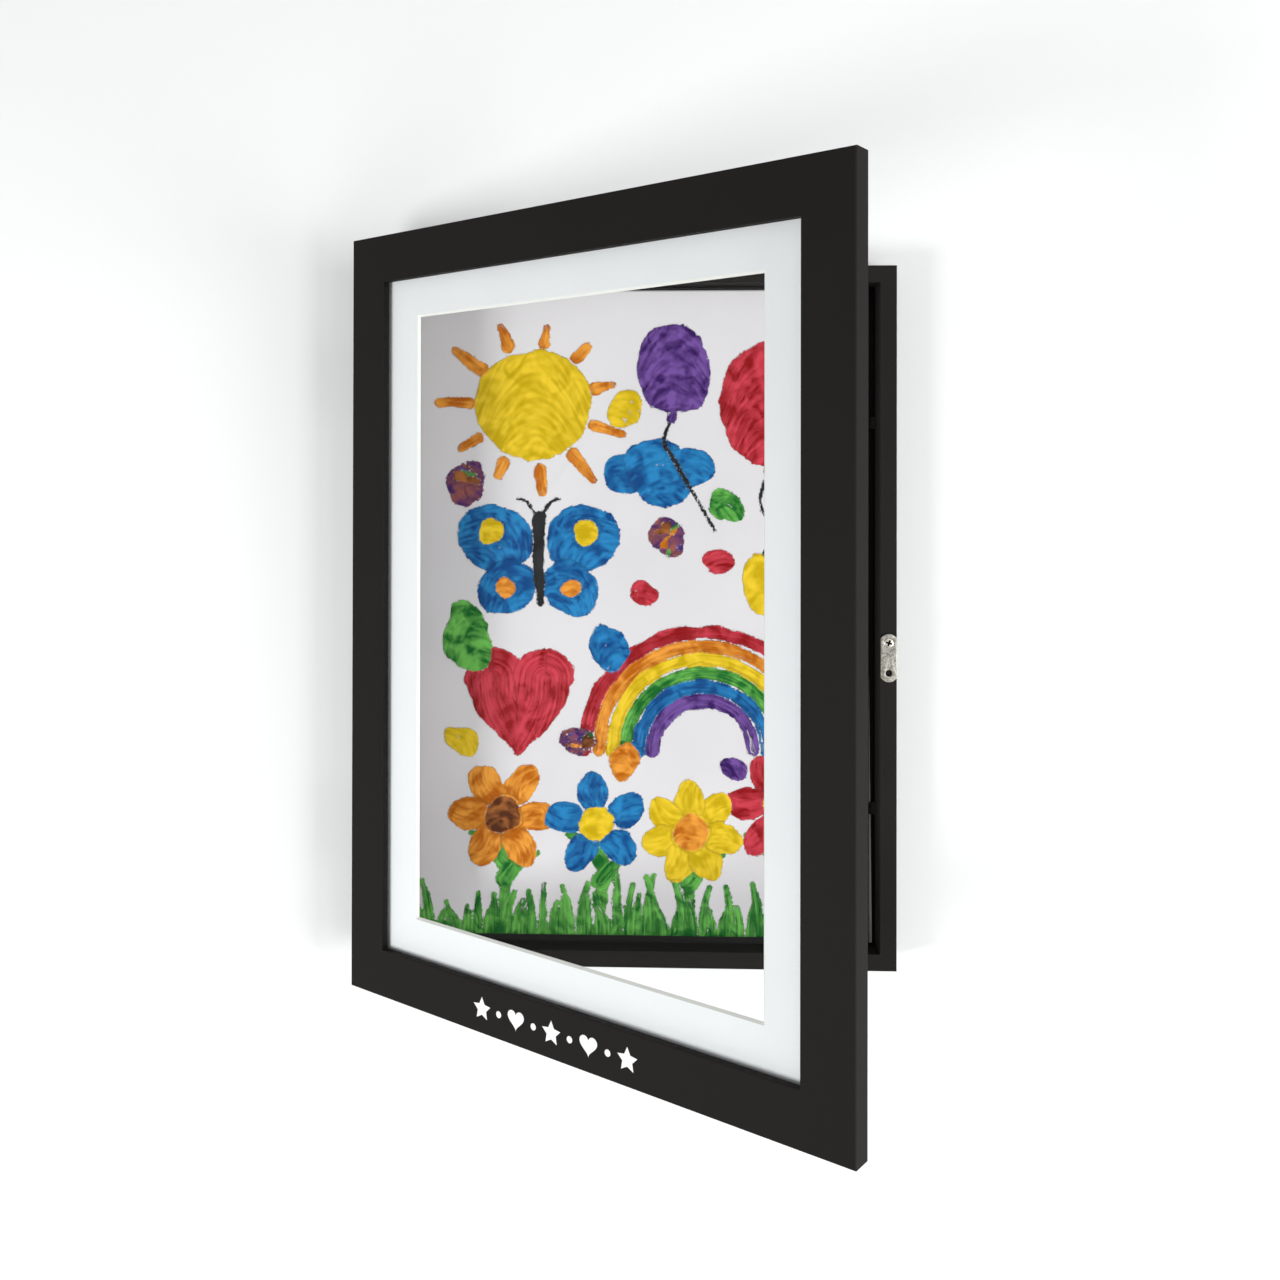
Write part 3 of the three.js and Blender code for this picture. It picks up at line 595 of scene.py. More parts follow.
print("mat window, mm:", [round(2 * half / MM, 1) for half in (board.x - side_front, board.z - end_front)])

# %% [markdown]
# Geometry nodes for what repeats
#
# Screws, nails and glazing tabs are each made once and set out many times. The tree takes
# a mesh of bare points, one for each copy, whose attribute `turn` says how it is turned.
# It puts the piece on each point, then makes the copies real, because copies that only
# point at a shared mesh don't survive an export.

# %% A tree that sets a piece out at places


def new_tree(name, inputs):
    """A geometry tree with named inputs: the tree, its inputs' sockets and its last node."""
    tree = bpy.data.node_groups.new(name, "GeometryNodeTree")
    sides = [("Geometry", "INPUT", "Geometry"), ("Geometry", "OUTPUT", "Geometry")]
    for label, side, kind in sides + [(label, "INPUT", kind) for label, kind in inputs.items()]:
        tree.interface.new_socket(name=label, in_out=side, socket_type="NodeSocket" + kind)
    return tree, put(tree, "NodeGroupInput").outputs, put(tree, "NodeGroupOutput")


def finish_tree(tree, geometry, finish, result):
    made = put(tree, "GeometryNodeSetMaterial", {"Geometry": geometry, "Material": finish})
    tree.links.new(made.outputs[0], result.inputs[0])
    print("tree:", tree.name, len(tree.nodes), "nodes")


def run_tree(tree, host, name, values):
    """Runs a tree on a host object with its named inputs set, and returns the plain mesh."""
    modifier = host.modifiers.new(tree.name, "NODES")
    modifier.node_group = tree
    for item in tree.interface.items_tree:
        if item.item_type == "SOCKET" and item.in_out == "INPUT" and item.name in values:
            modifier[item.identifier] = values[item.name]
    return made_plain(host, name)


set_out, given, result = new_tree("set_out_at_places", {"Piece": "Object", "Finish": "Material"})
source = put(set_out, "GeometryNodeObjectInfo", {"Object": given["Piece"]}).outputs["Geometry"]
turn = put(set_out, "GeometryNodeInputNamedAttribute", {"Name": "turn"}, data_type="FLOAT_VECTOR")
as_turn = put(set_out, "FunctionNodeEulerToRotation", {0: turn})
spots = put(set_out, "GeometryNodeMeshToPoints", {"Mesh": given["Geometry"]})
placing = {"Points": spots, "Instance": source, "Rotation": as_turn}
copies = put(set_out, "GeometryNodeInstanceOnPoints", placing)
real = put(set_out, "GeometryNodeRealizeInstances", {0: copies})
finish_tree(set_out, real, given["Finish"], result)

# %% The function that runs it
TO_LEFT, TO_FRONT, TO_WALL = (-1, 0, 0), (0, -1, 0), (0, 1, 0)


def repeat(name, source, places, material, body, slot, nodes, degrees=30):
    """Copies of a source at (place, turn) pairs, as one settled piece. The source is thrown away."""
    host = piece_from(name + "_places", [place for place, _ in places], [])
    turns = host.data.attributes.new("turn", "FLOAT_VECTOR", "POINT")
    turns.data.foreach_set("vector", [x for _, turn in places for x in turn])
    copies = run_tree(set_out, host, name, {"Piece": source, "Finish": material})
    bpy.data.objects.remove(source)
    settle(smooth(copies, degrees), body, slot, *nodes)


def wall_side(node):
    """The middle of a node's side towards the wall, and the turn that faces the wall."""
    place = middle(node)
    place.y = span(node)[1].y
    return place, Vector(TO_WALL).to_track_quat("Z", "Y").to_euler()

# %% [markdown]
# Screws
#
# A countersunk screw has a shallow dome, a sharp rim, a cone that sinks into its plate,
# and a threaded shank. The cross recess is what reads as a screw, so it is cut for real,
# with arms that narrow towards the bottom, and its faces are marked for a painted shade,
# near black, that the metal's finish lays in the cross.
# The slots of different screws never line up, so each is turned about its own axis.

# %% Countersunk screws
HEAD_FACETS = 40


def cross_recess(radius):
    """A cross with tapering arms, to be cut out of a head whose rim is at z = 0."""
    wide, narrow, depth, top = radius * 0.68, radius * 0.26, radius * 0.75, radius * 0.5
    thick = radius * 0.2
    arms = []
    for turn in (0, math.pi / 2):
        turned_by = Matrix.Rotation(turn, 3, "Z")
        ends = []
        for z, reach in ((-depth, narrow), (top, wide + narrow * 0.6)):
            outline = ((-reach, -thick), (reach, -thick), (reach, thick), (-reach, thick))
            ends.append([turned_by @ Vector((x, y, z)) for x, y in outline])
        arms.append(prism("arm", *ends))
    return arms


def screw(head, shank, length, crown):
    """A screw along +Z, in metres, with the rim of its head at z = 0."""
    dome = [(head * math.cos(a), crown * math.sin(a)) for a in np.radians((15, 35, 55, 75))]
    cone_end = -(head - shank)
    profile = [(0, -length), (shank * 0.4, -length + shank)]
    pitch = shank * 0.9
    for i in range(int((length + cone_end - shank) / pitch)):
        for out, up in ((0.72, 0.1), (1, 0.5), (0.72, 0.9)):
            profile.append((shank * out, -length + shank + i * pitch + pitch * up))
    profile += [(shank, cone_end), (head, -0.08 * MM), (head, 0), *dome, (0, crown)]
    made = smooth(combined(turned("screw", profile, HEAD_FACETS, nickel), cross_recess(head)))
    # Every face below the rim is marked: the cross, where the near black is painted shade, and the hidden cone and
    # shank.
    recess = made.data.attributes.new("recess", "FLOAT", "FACE")
    recess.data.foreach_set("value", [float(face.center.z < -0.1 * MM) for face in made.data.polygons])
    return made


def screw_places(nodes, direction, crown, seed):
    """Rim centre and turn of each screw, from the box of its solid."""
    rng = np.random.default_rng(seed)
    axis = Vector(direction)
    places = []
    for node in nodes:
        low, high = span(node)
        reach = abs(axis.dot(high - low)) / 2
        spin = Matrix.Rotation(rng.uniform(0, math.pi / 2), 4, "Z")
        turn = (axis.to_track_quat("Z", "Y").to_matrix().to_4x4() @ spin).to_euler()
        places.append(((low + high) / 2 + axis * (reach - crown), turn))
    return places

# %% Screws in their holes
# Head radius, shank radius, length below the rim and height of the dome.
hinge_size = (1.9 * MM, 0.9 * MM, 7 * MM, 0.15 * MM)
strike_size = (2.35 * MM, 1.1 * MM, 11 * MM, 0.3 * MM)
hinge_screws = {
    body: [f"{end}_hinge_{body}_screw_{n}" for end in ("upper", "lower") for n in (1, 2)]
    for body in ("box", "door")
}
for name, body, nodes, size, direction, seed, metal in (
    ("hinge_screws_in_box", "box", hinge_screws["box"], hinge_size, TO_LEFT, 3, nickel),
    ("hinge_screws_in_door", "door", hinge_screws["door"], hinge_size, TO_WALL, 4, nickel),
    ("strike_plate_screw", "box", ["strike_screw"], strike_size, TO_FRONT, 5, bright_nickel),
):
    places = screw_places(nodes, direction, size[3], seed)
    repeat(name, screw(*size), places, metal, body, "plated_steel", nodes)

# %% [markdown]
# Parts stamped from sheet metal
#
# The strike plate, the hinge plates and the hangers are stamped. A flat curve with holes
# is the natural way to draw them: the curve's extrusion is half the thickness and its
# bevel is the rounded edge that a tumbler leaves on a stamping. The outline is drawn
# smaller by the bevel, which the bevel then gives back.

# %% Stamped plates


def stamped(name, outline, holes, thickness, ease, material):
    """A plate in the XY plane, its mid-plane at z = 0. Holes are (x, y, radius)."""
    curve = bpy.data.curves.new(name, "CURVE")
    curve.dimensions = "2D"
    curve.fill_mode = "BOTH"
    curve.extrude = thickness / 2 - ease
    curve.bevel_depth = ease
    curve.bevel_resolution = 2
    for ring in [outline, *[arc(x, y, radius + ease, 0, 360, 40)[:-1] for x, y, radius in holes]]:
        spline = curve.splines.new("POLY")
        spline.points.add(len(ring) - 1)
        spline.points.foreach_set("co", [c for x, y in ring for c in (x, y, 0, 1)])
        spline.use_cyclic_u = True
    plate = made_plain(in_scene(name, curve), name)

    def weld(work):
        bmesh.ops.remove_doubles(work, verts=work.verts, dist=0.001 * MM)
        face_outwards(work)

    reworked(plate.data, weld)
    plate.data.materials.clear()
    plate.data.materials.append(material)
    return smooth(plate, 25)

# %% Strike plate
STRIKE_EASE = 0.18 * MM
END_RISE = 2.3 * MM  # height of each rounded end
EMPTY_HOLE = 1.65 * MM
strike_low, strike_high = span("strike_plate")
strike_at = (strike_low + strike_high) / 2
half_width = (strike_high.x - strike_low.x) / 2
end_radius = (half_width**2 + END_RISE**2) / (2 * END_RISE)
end_middle = (strike_high.z - strike_low.z) / 2 - end_radius
eased = end_radius - STRIKE_EASE
spread = math.degrees(math.asin((half_width - STRIKE_EASE) / eased))
ends = arc(0, end_middle, eased, 90 - spread, 90 + spread, 16)
ends += arc(0, -end_middle, eased, 270 - spread, 270 + spread, 16)
screw_drop = middle("strike_screw").z - strike_at.z
holes = [(0, screw_drop, strike_size[0] + 0.12 * MM), (0, -screw_drop, EMPTY_HOLE)]
plate = stamped("strike_plate_stamping", ends, holes, strike_high.y - strike_low.y, STRIKE_EASE, nickel)
UPRIGHT = Matrix.Rotation(math.pi / 2, 4, "X")
plate.data.transform(Matrix.Translation(strike_at) @ UPRIGHT)
settle(plate, "box", "plated_steel", "strike_plate")

# %% [markdown]
# Butt hinges
#
# A leaf is one strip of steel: flat where it is screwed down, and rolled round the pin
# where it makes a knuckle. The roll is a strip along a path, a short straight and then
# most of a circle. The flat plate and its rolls are joined into one body. In a leaf's own
# frame the pin runs along Z, the plate reaches out along +X, and its outer face is towards
# +Y. The box's leaf has the two end knuckles, and the door's leaf the middle one.

# %% Rolled leaves
LEAF = 0.9 * MM
NOTCH = 2.6 * MM
ROLL = 1.65 * MM  # pin line to the middle of the rolled strip
MIDDLE_KNUCKLE = 14.6 * MM
LEAF_EASE = 0.15 * MM
LEAF_CORNER = 1.2 * MM
SCREW_OFFSET = 11 * MM
upper_low, upper_high = span("upper_hinge_box_leaf")
hinge_half = (upper_high.z - upper_low.z) / 2
reach = upper_high.y - pin.y
pin_line = box_low.x - pin.x
leaf_middle = pin_line - LEAF / 2
end_knuckle = hinge_half - MIDDLE_KNUCKLE / 2 - FIT


def rolled_strip(low, high):
    """The strip that curls round the pin, from the plate's face, between two heights."""
    path = [(NOTCH + 0.8 * MM, leaf_middle), (NOTCH * 0.6, leaf_middle), *arc(0, 0, ROLL, 90, 400, 28)]
    sides = ([], [])
    for i, (x, y) in enumerate(path):
        x0, y0 = path[max(i - 1, 0)]
        x1, y1 = path[min(i + 1, len(path) - 1)]
        run = math.hypot(x1 - x0, y1 - y0)
        nx, ny = -(y1 - y0) / run, (x1 - x0) / run
        for side, sign in zip(sides, (1, -1)):
            side.append((x + sign * nx * LEAF / 2, y + sign * ny * LEAF / 2))
    section = sides[0] + sides[1][::-1]
    count = len(section)
    faces = between(range(count), range(count, 2 * count))
    for i in range(count // 2 - 1):
        cap = [i, i + 1, count - 2 - i, count - 1 - i]
        faces += [cap, [corner + count for corner in cap]]
    return piece_from("roll", [(x, y, z) for z in (low, high) for x, y in section], faces, zinc)


def hinge_leaf(name, knuckles):
    left, right, end = NOTCH + LEAF_EASE, reach - LEAF_EASE, hinge_half - LEAF_EASE
    outline = [
        (left, -end),
        *arc(right - LEAF_CORNER, LEAF_CORNER - end, LEAF_CORNER, 270, 360),
        *arc(right - LEAF_CORNER, end - LEAF_CORNER, LEAF_CORNER, 0, 90),
        (left, end),
    ]
    holes = [((NOTCH + reach) / 2, side * SCREW_OFFSET, hinge_size[0] + 0.1 * MM) for side in (-1, 1)]
    leaf = stamped(name, outline, holes, LEAF, LEAF_EASE, zinc)
    leaf.data.transform(Matrix.Translation((0, leaf_middle, 0)) @ UPRIGHT)
    return smooth(combined(leaf, [rolled_strip(low, high) for low, high in knuckles], "UNION"), 25)

# %% The four leaves
BOX_LEAF = Matrix(((0, 1, 0, 0), (1, 0, 0, 0), (0, 0, -1, 0), (0, 0, 0, 1)))
DOOR_LEAF = Matrix.Rotation(math.pi, 4, "Z")
box_knuckles = [(-hinge_half, end_knuckle - hinge_half), (hinge_half - end_knuckle, hinge_half)]
door_knuckles = [(-MIDDLE_KNUCKLE / 2, MIDDLE_KNUCKLE / 2)]
for end in ("upper", "lower"):
    for body, knuckles, turn in (("box", box_knuckles, BOX_LEAF), ("door", door_knuckles, DOOR_LEAF)):
        node = f"{end}_hinge_{body}_leaf"
        leaf = hinge_leaf(f"{end}_rolled_leaf_on_{body}", knuckles)
        leaf.data.transform(Matrix.Translation((pin.x, pin.y, middle(node).z)) @ turn)
        settle(leaf, body, "hinge_steel", node)

# %% [markdown]
# Hinge pins, the magnet and the nails
#
# All of these are round, so each is a profile turned about its own axis, as on a lathe.

# %% Turned parts
PIN_RADIUS = 1 * MM
PIN_HEAD = 1.7 * MM
MAGNET_EASE = 0.3 * MM
NAIL_CROWN = 0.5 * MM
NAIL_SHANK = 0.5 * MM

pins = ["upper_hinge_pin", "lower_hinge_pin"]
pin_low, pin_high = span(pins[0])
pin_half = (pin_high.z - pin_low.z) / 2
rise = pin_half - hinge_half
head = [(PIN_HEAD * math.sin(a), hinge_half + rise * math.cos(a)) for a in np.radians((90, 60, 30))]
upper_half = [(PIN_RADIUS, hinge_half), *head, (0, pin_half)]
pin_profile = [(r, -z) for r, z in upper_half[::-1]] + upper_half
places = [(middle(node), (0, 0, 0)) for node in pins]
repeat("hinge_pins", turned("pin", pin_profile, 32, zinc), places, zinc, "box", "hinge_steel", pins)

# %% The magnet and the nails
rim = arc(magnet_radius - MAGNET_EASE, -MAGNET_EASE, MAGNET_EASE, 0, 90)
disc_profile = [(0, -magnet_depth), (magnet_radius, -magnet_depth), *rim, (0, 0)]
disc = turned("disc", disc_profile, 48, mirror_nickel)
repeat("catch_magnet", disc, [wall_side("magnet")], mirror_nickel, "door", "magnet_plating", ["magnet"])

nails = [f"hanger_{side}_nail_{n}" for side in ("left", "right") for n in (1, 2)]
nail_low, nail_high = span(nails[0])
nail_length = nail_high.y - nail_low.y
nail_head = (nail_high.x - nail_low.x) / 2
dome = [(nail_head * math.cos(a), NAIL_CROWN * (math.sin(a) - 1)) for a in np.radians((0, 25, 50, 75))]
shaft = [(0, -nail_length), (NAIL_SHANK, NAIL_SHANK - nail_length), (NAIL_SHANK, -NAIL_CROWN)]
nail = turned("nail", [*shaft, *dome, (0, 0)], 24, nickel)
repeat("hanger_nails", nail, [wall_side(n) for n in nails], nickel, "box", "plated_steel", nails)

# %% [markdown]
# Glazing tabs
#
# Flexible tabs hold the back panel in the box, and the pane and mat in the door. They are
# shot into the rabbet's wall tip first and lie flat on the board, so they can be bent up
# and down again. Each has a small hole near its free end.

# %% Tabs
TIP = 2.5 * MM
TAB_HOLE = 0.8 * MM
tab_low, tab_high = span("door_point_left_1")
tab_length, tab_thickness, tab_width = tab_high - tab_low


def tab():
    """A tab along +X, its tip at -X, the board at -Z."""
    half, end, ease = tab_width / 2, tab_length / 2, 0.1 * MM
    corner = half * 0.5
    outline = [
        (-end + ease, 0),
        (TIP - end, ease - half),
        *arc(end - corner, ease - corner, corner - ease, 270, 360),
        *arc(end - corner, corner - ease, corner - ease, 0, 90),
        (TIP - end, half - ease),
    ]
    return stamped("tab", outline, [(end * 0.55, 0, TAB_HOLE)], tab_thickness, ease, spring)


def tab_place(node):
    """A tab's turn: its tip points out of the frame, and its flat faces the wall."""
    inward, towards_wall = Vector(INWARD[node.split("_")[2]]), Vector(TO_WALL)
    basis = Matrix((inward, towards_wall.cross(inward), towards_wall)).transposed()
    return middle(node), basis.to_euler()


for name, body, start in (("glazing_tabs", "door", "door_point_"), ("panel_tabs", "box", "panel_point_")):
    nodes = [node for node in frame["nodes"] if node.startswith(start)]
    repeat(name, tab(), [tab_place(node) for node in nodes], spring, body, "tab_steel", nodes, 25)

# %% [markdown]
# Sawtooth hangers
#
# A sawtooth hanger is a strip with a row of teeth along its lower edge, so that a nail can
# sit in any of them and the picture be set level. Its middle is pressed up off the board.
# The outline comes from a loop over the teeth. The strip is then sliced where it bends,
# and its middle moved towards the wall.

# %% Hangers
HANGER_SHEET = 0.6 * MM
FOOT = 8 * MM  # length of the flat that is nailed down
RAMP = 1.6 * MM
TOOTH = 3 * MM
TOOTH_DEPTH = 1.9 * MM
hanger_low, hanger_high = span("hanger_left")
strip_half = (hanger_high.x - hanger_low.x) / 2
strip_height = hanger_high.z - hanger_low.z
hanger_lift = hanger_high.y - hanger_low.y - HANGER_SHEET


def press(work):
    """Slices a flat strip where it bends and lifts its middle."""
    for x in (strip_half - FOOT, strip_half - FOOT - RAMP):
        for side in (-1, 1):
            parts = work.verts[:] + work.edges[:] + work.faces[:]
            bmesh.ops.bisect_plane(work, geom=parts, plane_co=(side * x, 0, 0), plane_no=(1, 0, 0))
    for vert in work.verts:
        risen = (strip_half - FOOT - abs(vert.co.x)) / RAMP
        vert.co.z += hanger_lift * min(max(risen, 0), 1)


def hanger():
    ease = 0.08 * MM
    low = -strip_height / 2 + ease
    end = strip_half - ease
    count = int(2 * (strip_half - FOOT - RAMP) / TOOTH)
    outline = [(-end, low)]
    for i in range(count):
        x = (i - (count - 1) / 2) * TOOTH
        outline += [(x - TOOTH / 2 + ease, low), (x, low + TOOTH_DEPTH), (x + TOOTH / 2 - ease, low)]
    outline += [(end, low), (end, -low), (-end, -low)]
    holes = [(side * (strip_half - FOOT / 2), 0, NAIL_SHANK + FIT) for side in (-1, 1)]
    strip = stamped("hanger", outline, holes, HANGER_SHEET, ease, bright_nickel)
    reworked(strip.data, press)
    strip.data.transform(Matrix.Translation((0, 0, HANGER_SHEET / 2)))
    return strip

# %% Both hangers
hangers = ["hanger_left", "hanger_right"]
flat_on_panel = Matrix(((-1, 0, 0), (0, 0, 1), (0, 1, 0))).to_euler()
places = [(Vector((middle(n).x, span(n)[0].y, middle(n).z)), flat_on_panel) for n in hangers]
repeat("sawtooth_hangers", hanger(), places, bright_nickel, "box", "plated_steel", hangers, 25)

# %% [markdown]
# The stack of spare drawings
#
# Thirty-odd sheets lie in the tray. A stack is never square, and its pale, layered edge is
# what shows through the gap beside the door. A geometry tree lays one thin sheet on each
# point of a line, shifts and turns it by a seeded random amount, and gives each a random
# `tone` for the paper material.

# %% Sheets laid askew
vectors = dict.fromkeys(("Size", "Step", "Turn from", "Turn to", "Shift from", "Shift to"), "Vector")
others = {"Sheets": "Int", "Lean": "Float", "Seed": "Int", "Finish": "Material"}
stack_tree, given, result = new_tree("loose_stack_of_sheets", {**vectors, **others})
line = put(stack_tree, "GeometryNodeMeshLine", {"Count": given["Sheets"], "Offset": given["Step"]})
sheet = put(stack_tree, "GeometryNodeMeshCube", {"Size": given["Size"]})
limits = {0: given["Turn from"], 1: given["Turn to"], "Seed": given["Seed"]}
askew = put(stack_tree, "FunctionNodeRandomValue", limits, data_type="FLOAT_VECTOR")
laid = put(stack_tree, "GeometryNodeInstanceOnPoints", {"Points": line, "Instance": sheet, "Rotation": askew})
other_seed = put(stack_tree, "Math", {0: given["Seed"], 1: 1}, operation="ADD")
limits = {0: given["Shift from"], 1: given["Shift to"], "Seed": other_seed}
shift = put(stack_tree, "FunctionNodeRandomValue", limits, data_type="FLOAT_VECTOR")
shifted = put(stack_tree, "GeometryNodeTranslateInstances", {0: laid, "Translation": shift})
print("stack tree so far:", len(stack_tree.nodes), "nodes")

# %% [markdown]
# A tone and a lean for each sheet
#
# The `tone` is stored on each copy before the copies are made real, so that all points
# of a sheet keep the same number. It also says how far the sheet leans: its points are
# pushed to the left in step with their height, which keeps its lower edge level.

# %% Tone and lean
any_tone = put(stack_tree, "FunctionNodeRandomValue", {"Seed": given["Seed"]}, data_type="FLOAT")
marks = {"Geometry": shifted, "Name": "tone", "Value": any_tone}
toned = put(stack_tree, "GeometryNodeStoreNamedAttribute", marks, domain="INSTANCE")
real = put(stack_tree, "GeometryNodeRealizeInstances", {0: toned})
own_tone = put(stack_tree, "GeometryNodeInputNamedAttribute", {"Name": "tone"}, data_type="FLOAT")
own_lean = put(stack_tree, "Math", {0: own_tone, 1: given["Lean"]}, operation="MULTIPLY")
where = put(stack_tree, "SeparateXYZ", {0: put(stack_tree, "GeometryNodeInputPosition")})
pushed = put(stack_tree, "Math", {0: where.outputs["Z"], 1: own_lean}, operation="MULTIPLY")
drift = put(stack_tree, "CombineXYZ", {"X": pushed})
leaning = put(stack_tree, "GeometryNodeSetPosition", {"Geometry": real, "Offset": drift})
finish_tree(stack_tree, leaning, given["Finish"], result)

# %% The stack itself
SHEETS = 34
SLACK = 0.3 * MM
SKEW = math.radians(0.05)
LEAN = math.tan(math.radians(0.9))  # the most that a sheet leans to the left
PAPER_SHARE = 0.88  # of the step from one sheet to the next
stack_low, stack_high = span("paper_stack")
depth, tall = stack_high.y - stack_low.y, stack_high.z - stack_low.z
step = depth / SHEETS
uneven = 2 * SLACK + SKEW * tall
settings = {
    "Sheets": SHEETS,
    "Size": (stack_high.x - stack_low.x - uneven - LEAN * tall, step * PAPER_SHARE, tall - uneven),
    "Step": (0, -step, 0),
    "Turn from": (0, -SKEW, 0),
    "Turn to": (0, SKEW, 0),
    "Shift from": (-SLACK, 0, 0),
    "Shift to": (SLACK, 0, SLACK),
    "Lean": -LEAN,
    "Seed": 11,
    "Finish": stacked_paper,
}
stack = run_tree(stack_tree, piece_from("stack_host", [(0, 0, 0)], []), "stack_of_sheets", settings)
centre = (stack_low + stack_high) / 2
stack.data.transform(Matrix.Translation((centre.x, stack_high.y - step / 2, centre.z - SLACK / 2)))
settle(stack, "box", "paper", "paper_stack")

# %% [markdown]
# The elastic straps
#
# Two straps hold the stack down, their ends tucked into slots in the side rails. Elastic
# is a row of rubber cords in a braid, so a tree sets one cord beside the next across the
# strap's width.

# %% Straps
vectors = dict.fromkeys(("From", "To", "Step", "Squash"), "Vector")
others = {"Cords": "Int", "Radius": "Float", "Finish": "Material"}
strap_tree, given, result = new_tree("cords_side_by_side", {**vectors, **others})
path = put(strap_tree, "GeometryNodeCurvePrimitiveLine", {"Start": given["From"], "End": given["To"]})
section = put(strap_tree, "GeometryNodeCurvePrimitiveCircle", {"Resolution": 12, "Radius": given["Radius"]})
swept = {"Curve": path, "Profile Curve": section, "Fill Caps": True}
cord = put(strap_tree, "GeometryNodeCurveToMesh", swept)
row = put(strap_tree, "GeometryNodeMeshLine", {"Count": given["Cords"], "Offset": given["Step"]})
placing = {"Points": row, "Instance": cord, "Scale": given["Squash"]}
beside = put(strap_tree, "GeometryNodeInstanceOnPoints", placing)
real = put(strap_tree, "GeometryNodeRealizeInstances", {0: beside})
finish_tree(strap_tree, real, given["Finish"], result)

# %% Upper and lower strap
CORDS = 7
OVERLAP = 1.12  # of neighbouring cords
for end in ("upper", "lower"):
    low, high = span(f"elastic_strap_{end}")
    width, thickness, half = high.z - low.z, high.y - low.y, (high.x - low.x) / 2
    radius = width / (2 * CORDS) * OVERLAP
    settings = {
        "Cords": CORDS,
        "From": (-half, 0, 0),
        "To": (half, 0, 0),
        "Step": (0, 0, (width - 2 * radius) / (CORDS - 1)),
        "Radius": radius,
        "Squash": (1, thickness / 2 / radius, 1),
        "Finish": elastic,
    }
    strap = run_tree(strap_tree, piece_from("strap_host", [(0, 0, 0)], []), f"woven_elastic_{end}", settings)
    strap.data.transform(Matrix.Translation(((low.x + high.x) / 2, (low.y + high.y) / 2, low.z + radius)))
    settle(smooth(strap, 50), "box", "black_elastic", f"elastic_strap_{end}")

# %% [markdown]
# A child's painting
#
# The sheet on show is thick poster paint on cartridge paper. It is a picture of a garden
# of its own. The sheet is one grid of points a millimetre apart. For each colour of
# paint the grid stores how far inside a painted shape each point lies, in millimetres.
# A shader that cuts this distance at zero gives an edge far sharper than the grid, and
# noise added before the cut gives the ragged edge of a dry brush. The same distances
# raise the paper's surface, so that the paint has its real thickness.

# %% The canvas
CELL = 1.0
OUTSIDE = -9.0
PAINTS = {
    "green": ("065A1C", "66B04E"),
    "brown": ("4A240E", "A0602E"),
    "yellow": ("B89A00", "E0BE2A"),
    "orange": ("A85600", "E09638"),
    "red": ("82060C", "C03A48"),
    "plum": ("3C1E5C", "8A4E48"),
    "purple": ("2E0F50", "6C4A92"),
    "blue": ("053E78", "227AB2"),
    "black": ("101012", "242427"),
}
sheet_low, sheet_high = span("top_drawing")
half_x = (sheet_high.x - sheet_low.x) / 2 / MM
half_z = (sheet_high.z - sheet_low.z) / 2 / MM
X, Z = np.meshgrid(*[np.linspace(-half, half, round(2 * half / CELL) + 1) for half in (half_x, half_z)])
rng = np.random.default_rng(21)
canvas = {paint: np.full(X.shape, OUTSIDE) for paint in PAINTS}
brush = np.zeros(X.shape + (3,))
dryness, body = np.zeros(X.shape), np.zeros(X.shape)


def ripples(size, seed):
    """Smooth random bumps about `size` millimetres across, from -1 to 1."""
    rows, columns = int(2 * half_z / size) + 4, int(2 * half_x / size) + 4
    coarse = np.random.default_rng(seed).uniform(-1, 1, (rows, columns))
    u, v = (X + half_x) / size, (Z + half_z) / size
    i, j = u.astype(int), v.astype(int)
    s, t = (w * w * (3 - 2 * w) for w in (u - i, v - j))
    lower = coarse[j, i] * (1 - s) + coarse[j, i + 1] * s
    upper = coarse[j + 1, i] * (1 - s) + coarse[j + 1, i + 1] * s
    return lower * (1 - t) + upper * t


WOBBLE = 1.1 * ripples(9, 1) + 0.6 * ripples(3.5, 2)
print("canvas:", X.shape, "points")

# %% [markdown]
# Strokes and dabs
#
# Everything a child paints is a stroke or a dab. A stroke follows a path and gets thinner
# and drier towards its end. A dab is a round patch with a wobbly rim, pressed on rather
# than drawn, so its shades lie in blotches and not in lines. A medley is a dab in which
# a few colours run into each other. Each new shape covers what lies under it.

# %% Laying a shape


def lay(paint, inside, along, across, dry=0.0, unsteady=1.0):
    """Adds a shape: `inside` is each point's distance in from its edge, in millimetres."""
    inside = inside + unsteady * WOBBLE
    for other, layer in canvas.items():
        if other != paint:
            np.minimum(layer, 0.5 - inside, out=layer)
    np.maximum(canvas[paint], inside, out=canvas[paint])
    covered = inside > -0.8
    number = rng.uniform(0, 90)
    brush[covered] = np.stack([along, across, np.full(X.shape, number)], axis=-1)[covered]
    dryness[covered] = np.broadcast_to(dry, X.shape)[covered]
    rim = np.exp(-(((inside - 0.9) / 0.7) ** 2))
    body[covered] = (0.12 * np.clip(inside / 1.2, 0, 1) + 0.1 * rim)[covered]

# %% Strokes


def curve(points, steps=8):
    """A smooth path through given points."""
    points = [np.array(p, float) for p in points]
    ends = [2 * points[0] - points[1], *points, 2 * points[-1] - points[-2]]
    path = []
    for a, b, c, d in zip(ends, ends[1:], ends[2:], ends[3:]):
        for t in np.arange(steps) / steps:
            bend, twist = 2 * a - 5 * b + 4 * c - d, 3 * b - a - 3 * c + d
            path.append(0.5 * (2 * b + (c - a) * t + bend * t**2 + twist * t**3))
    return [*path, points[-1]]


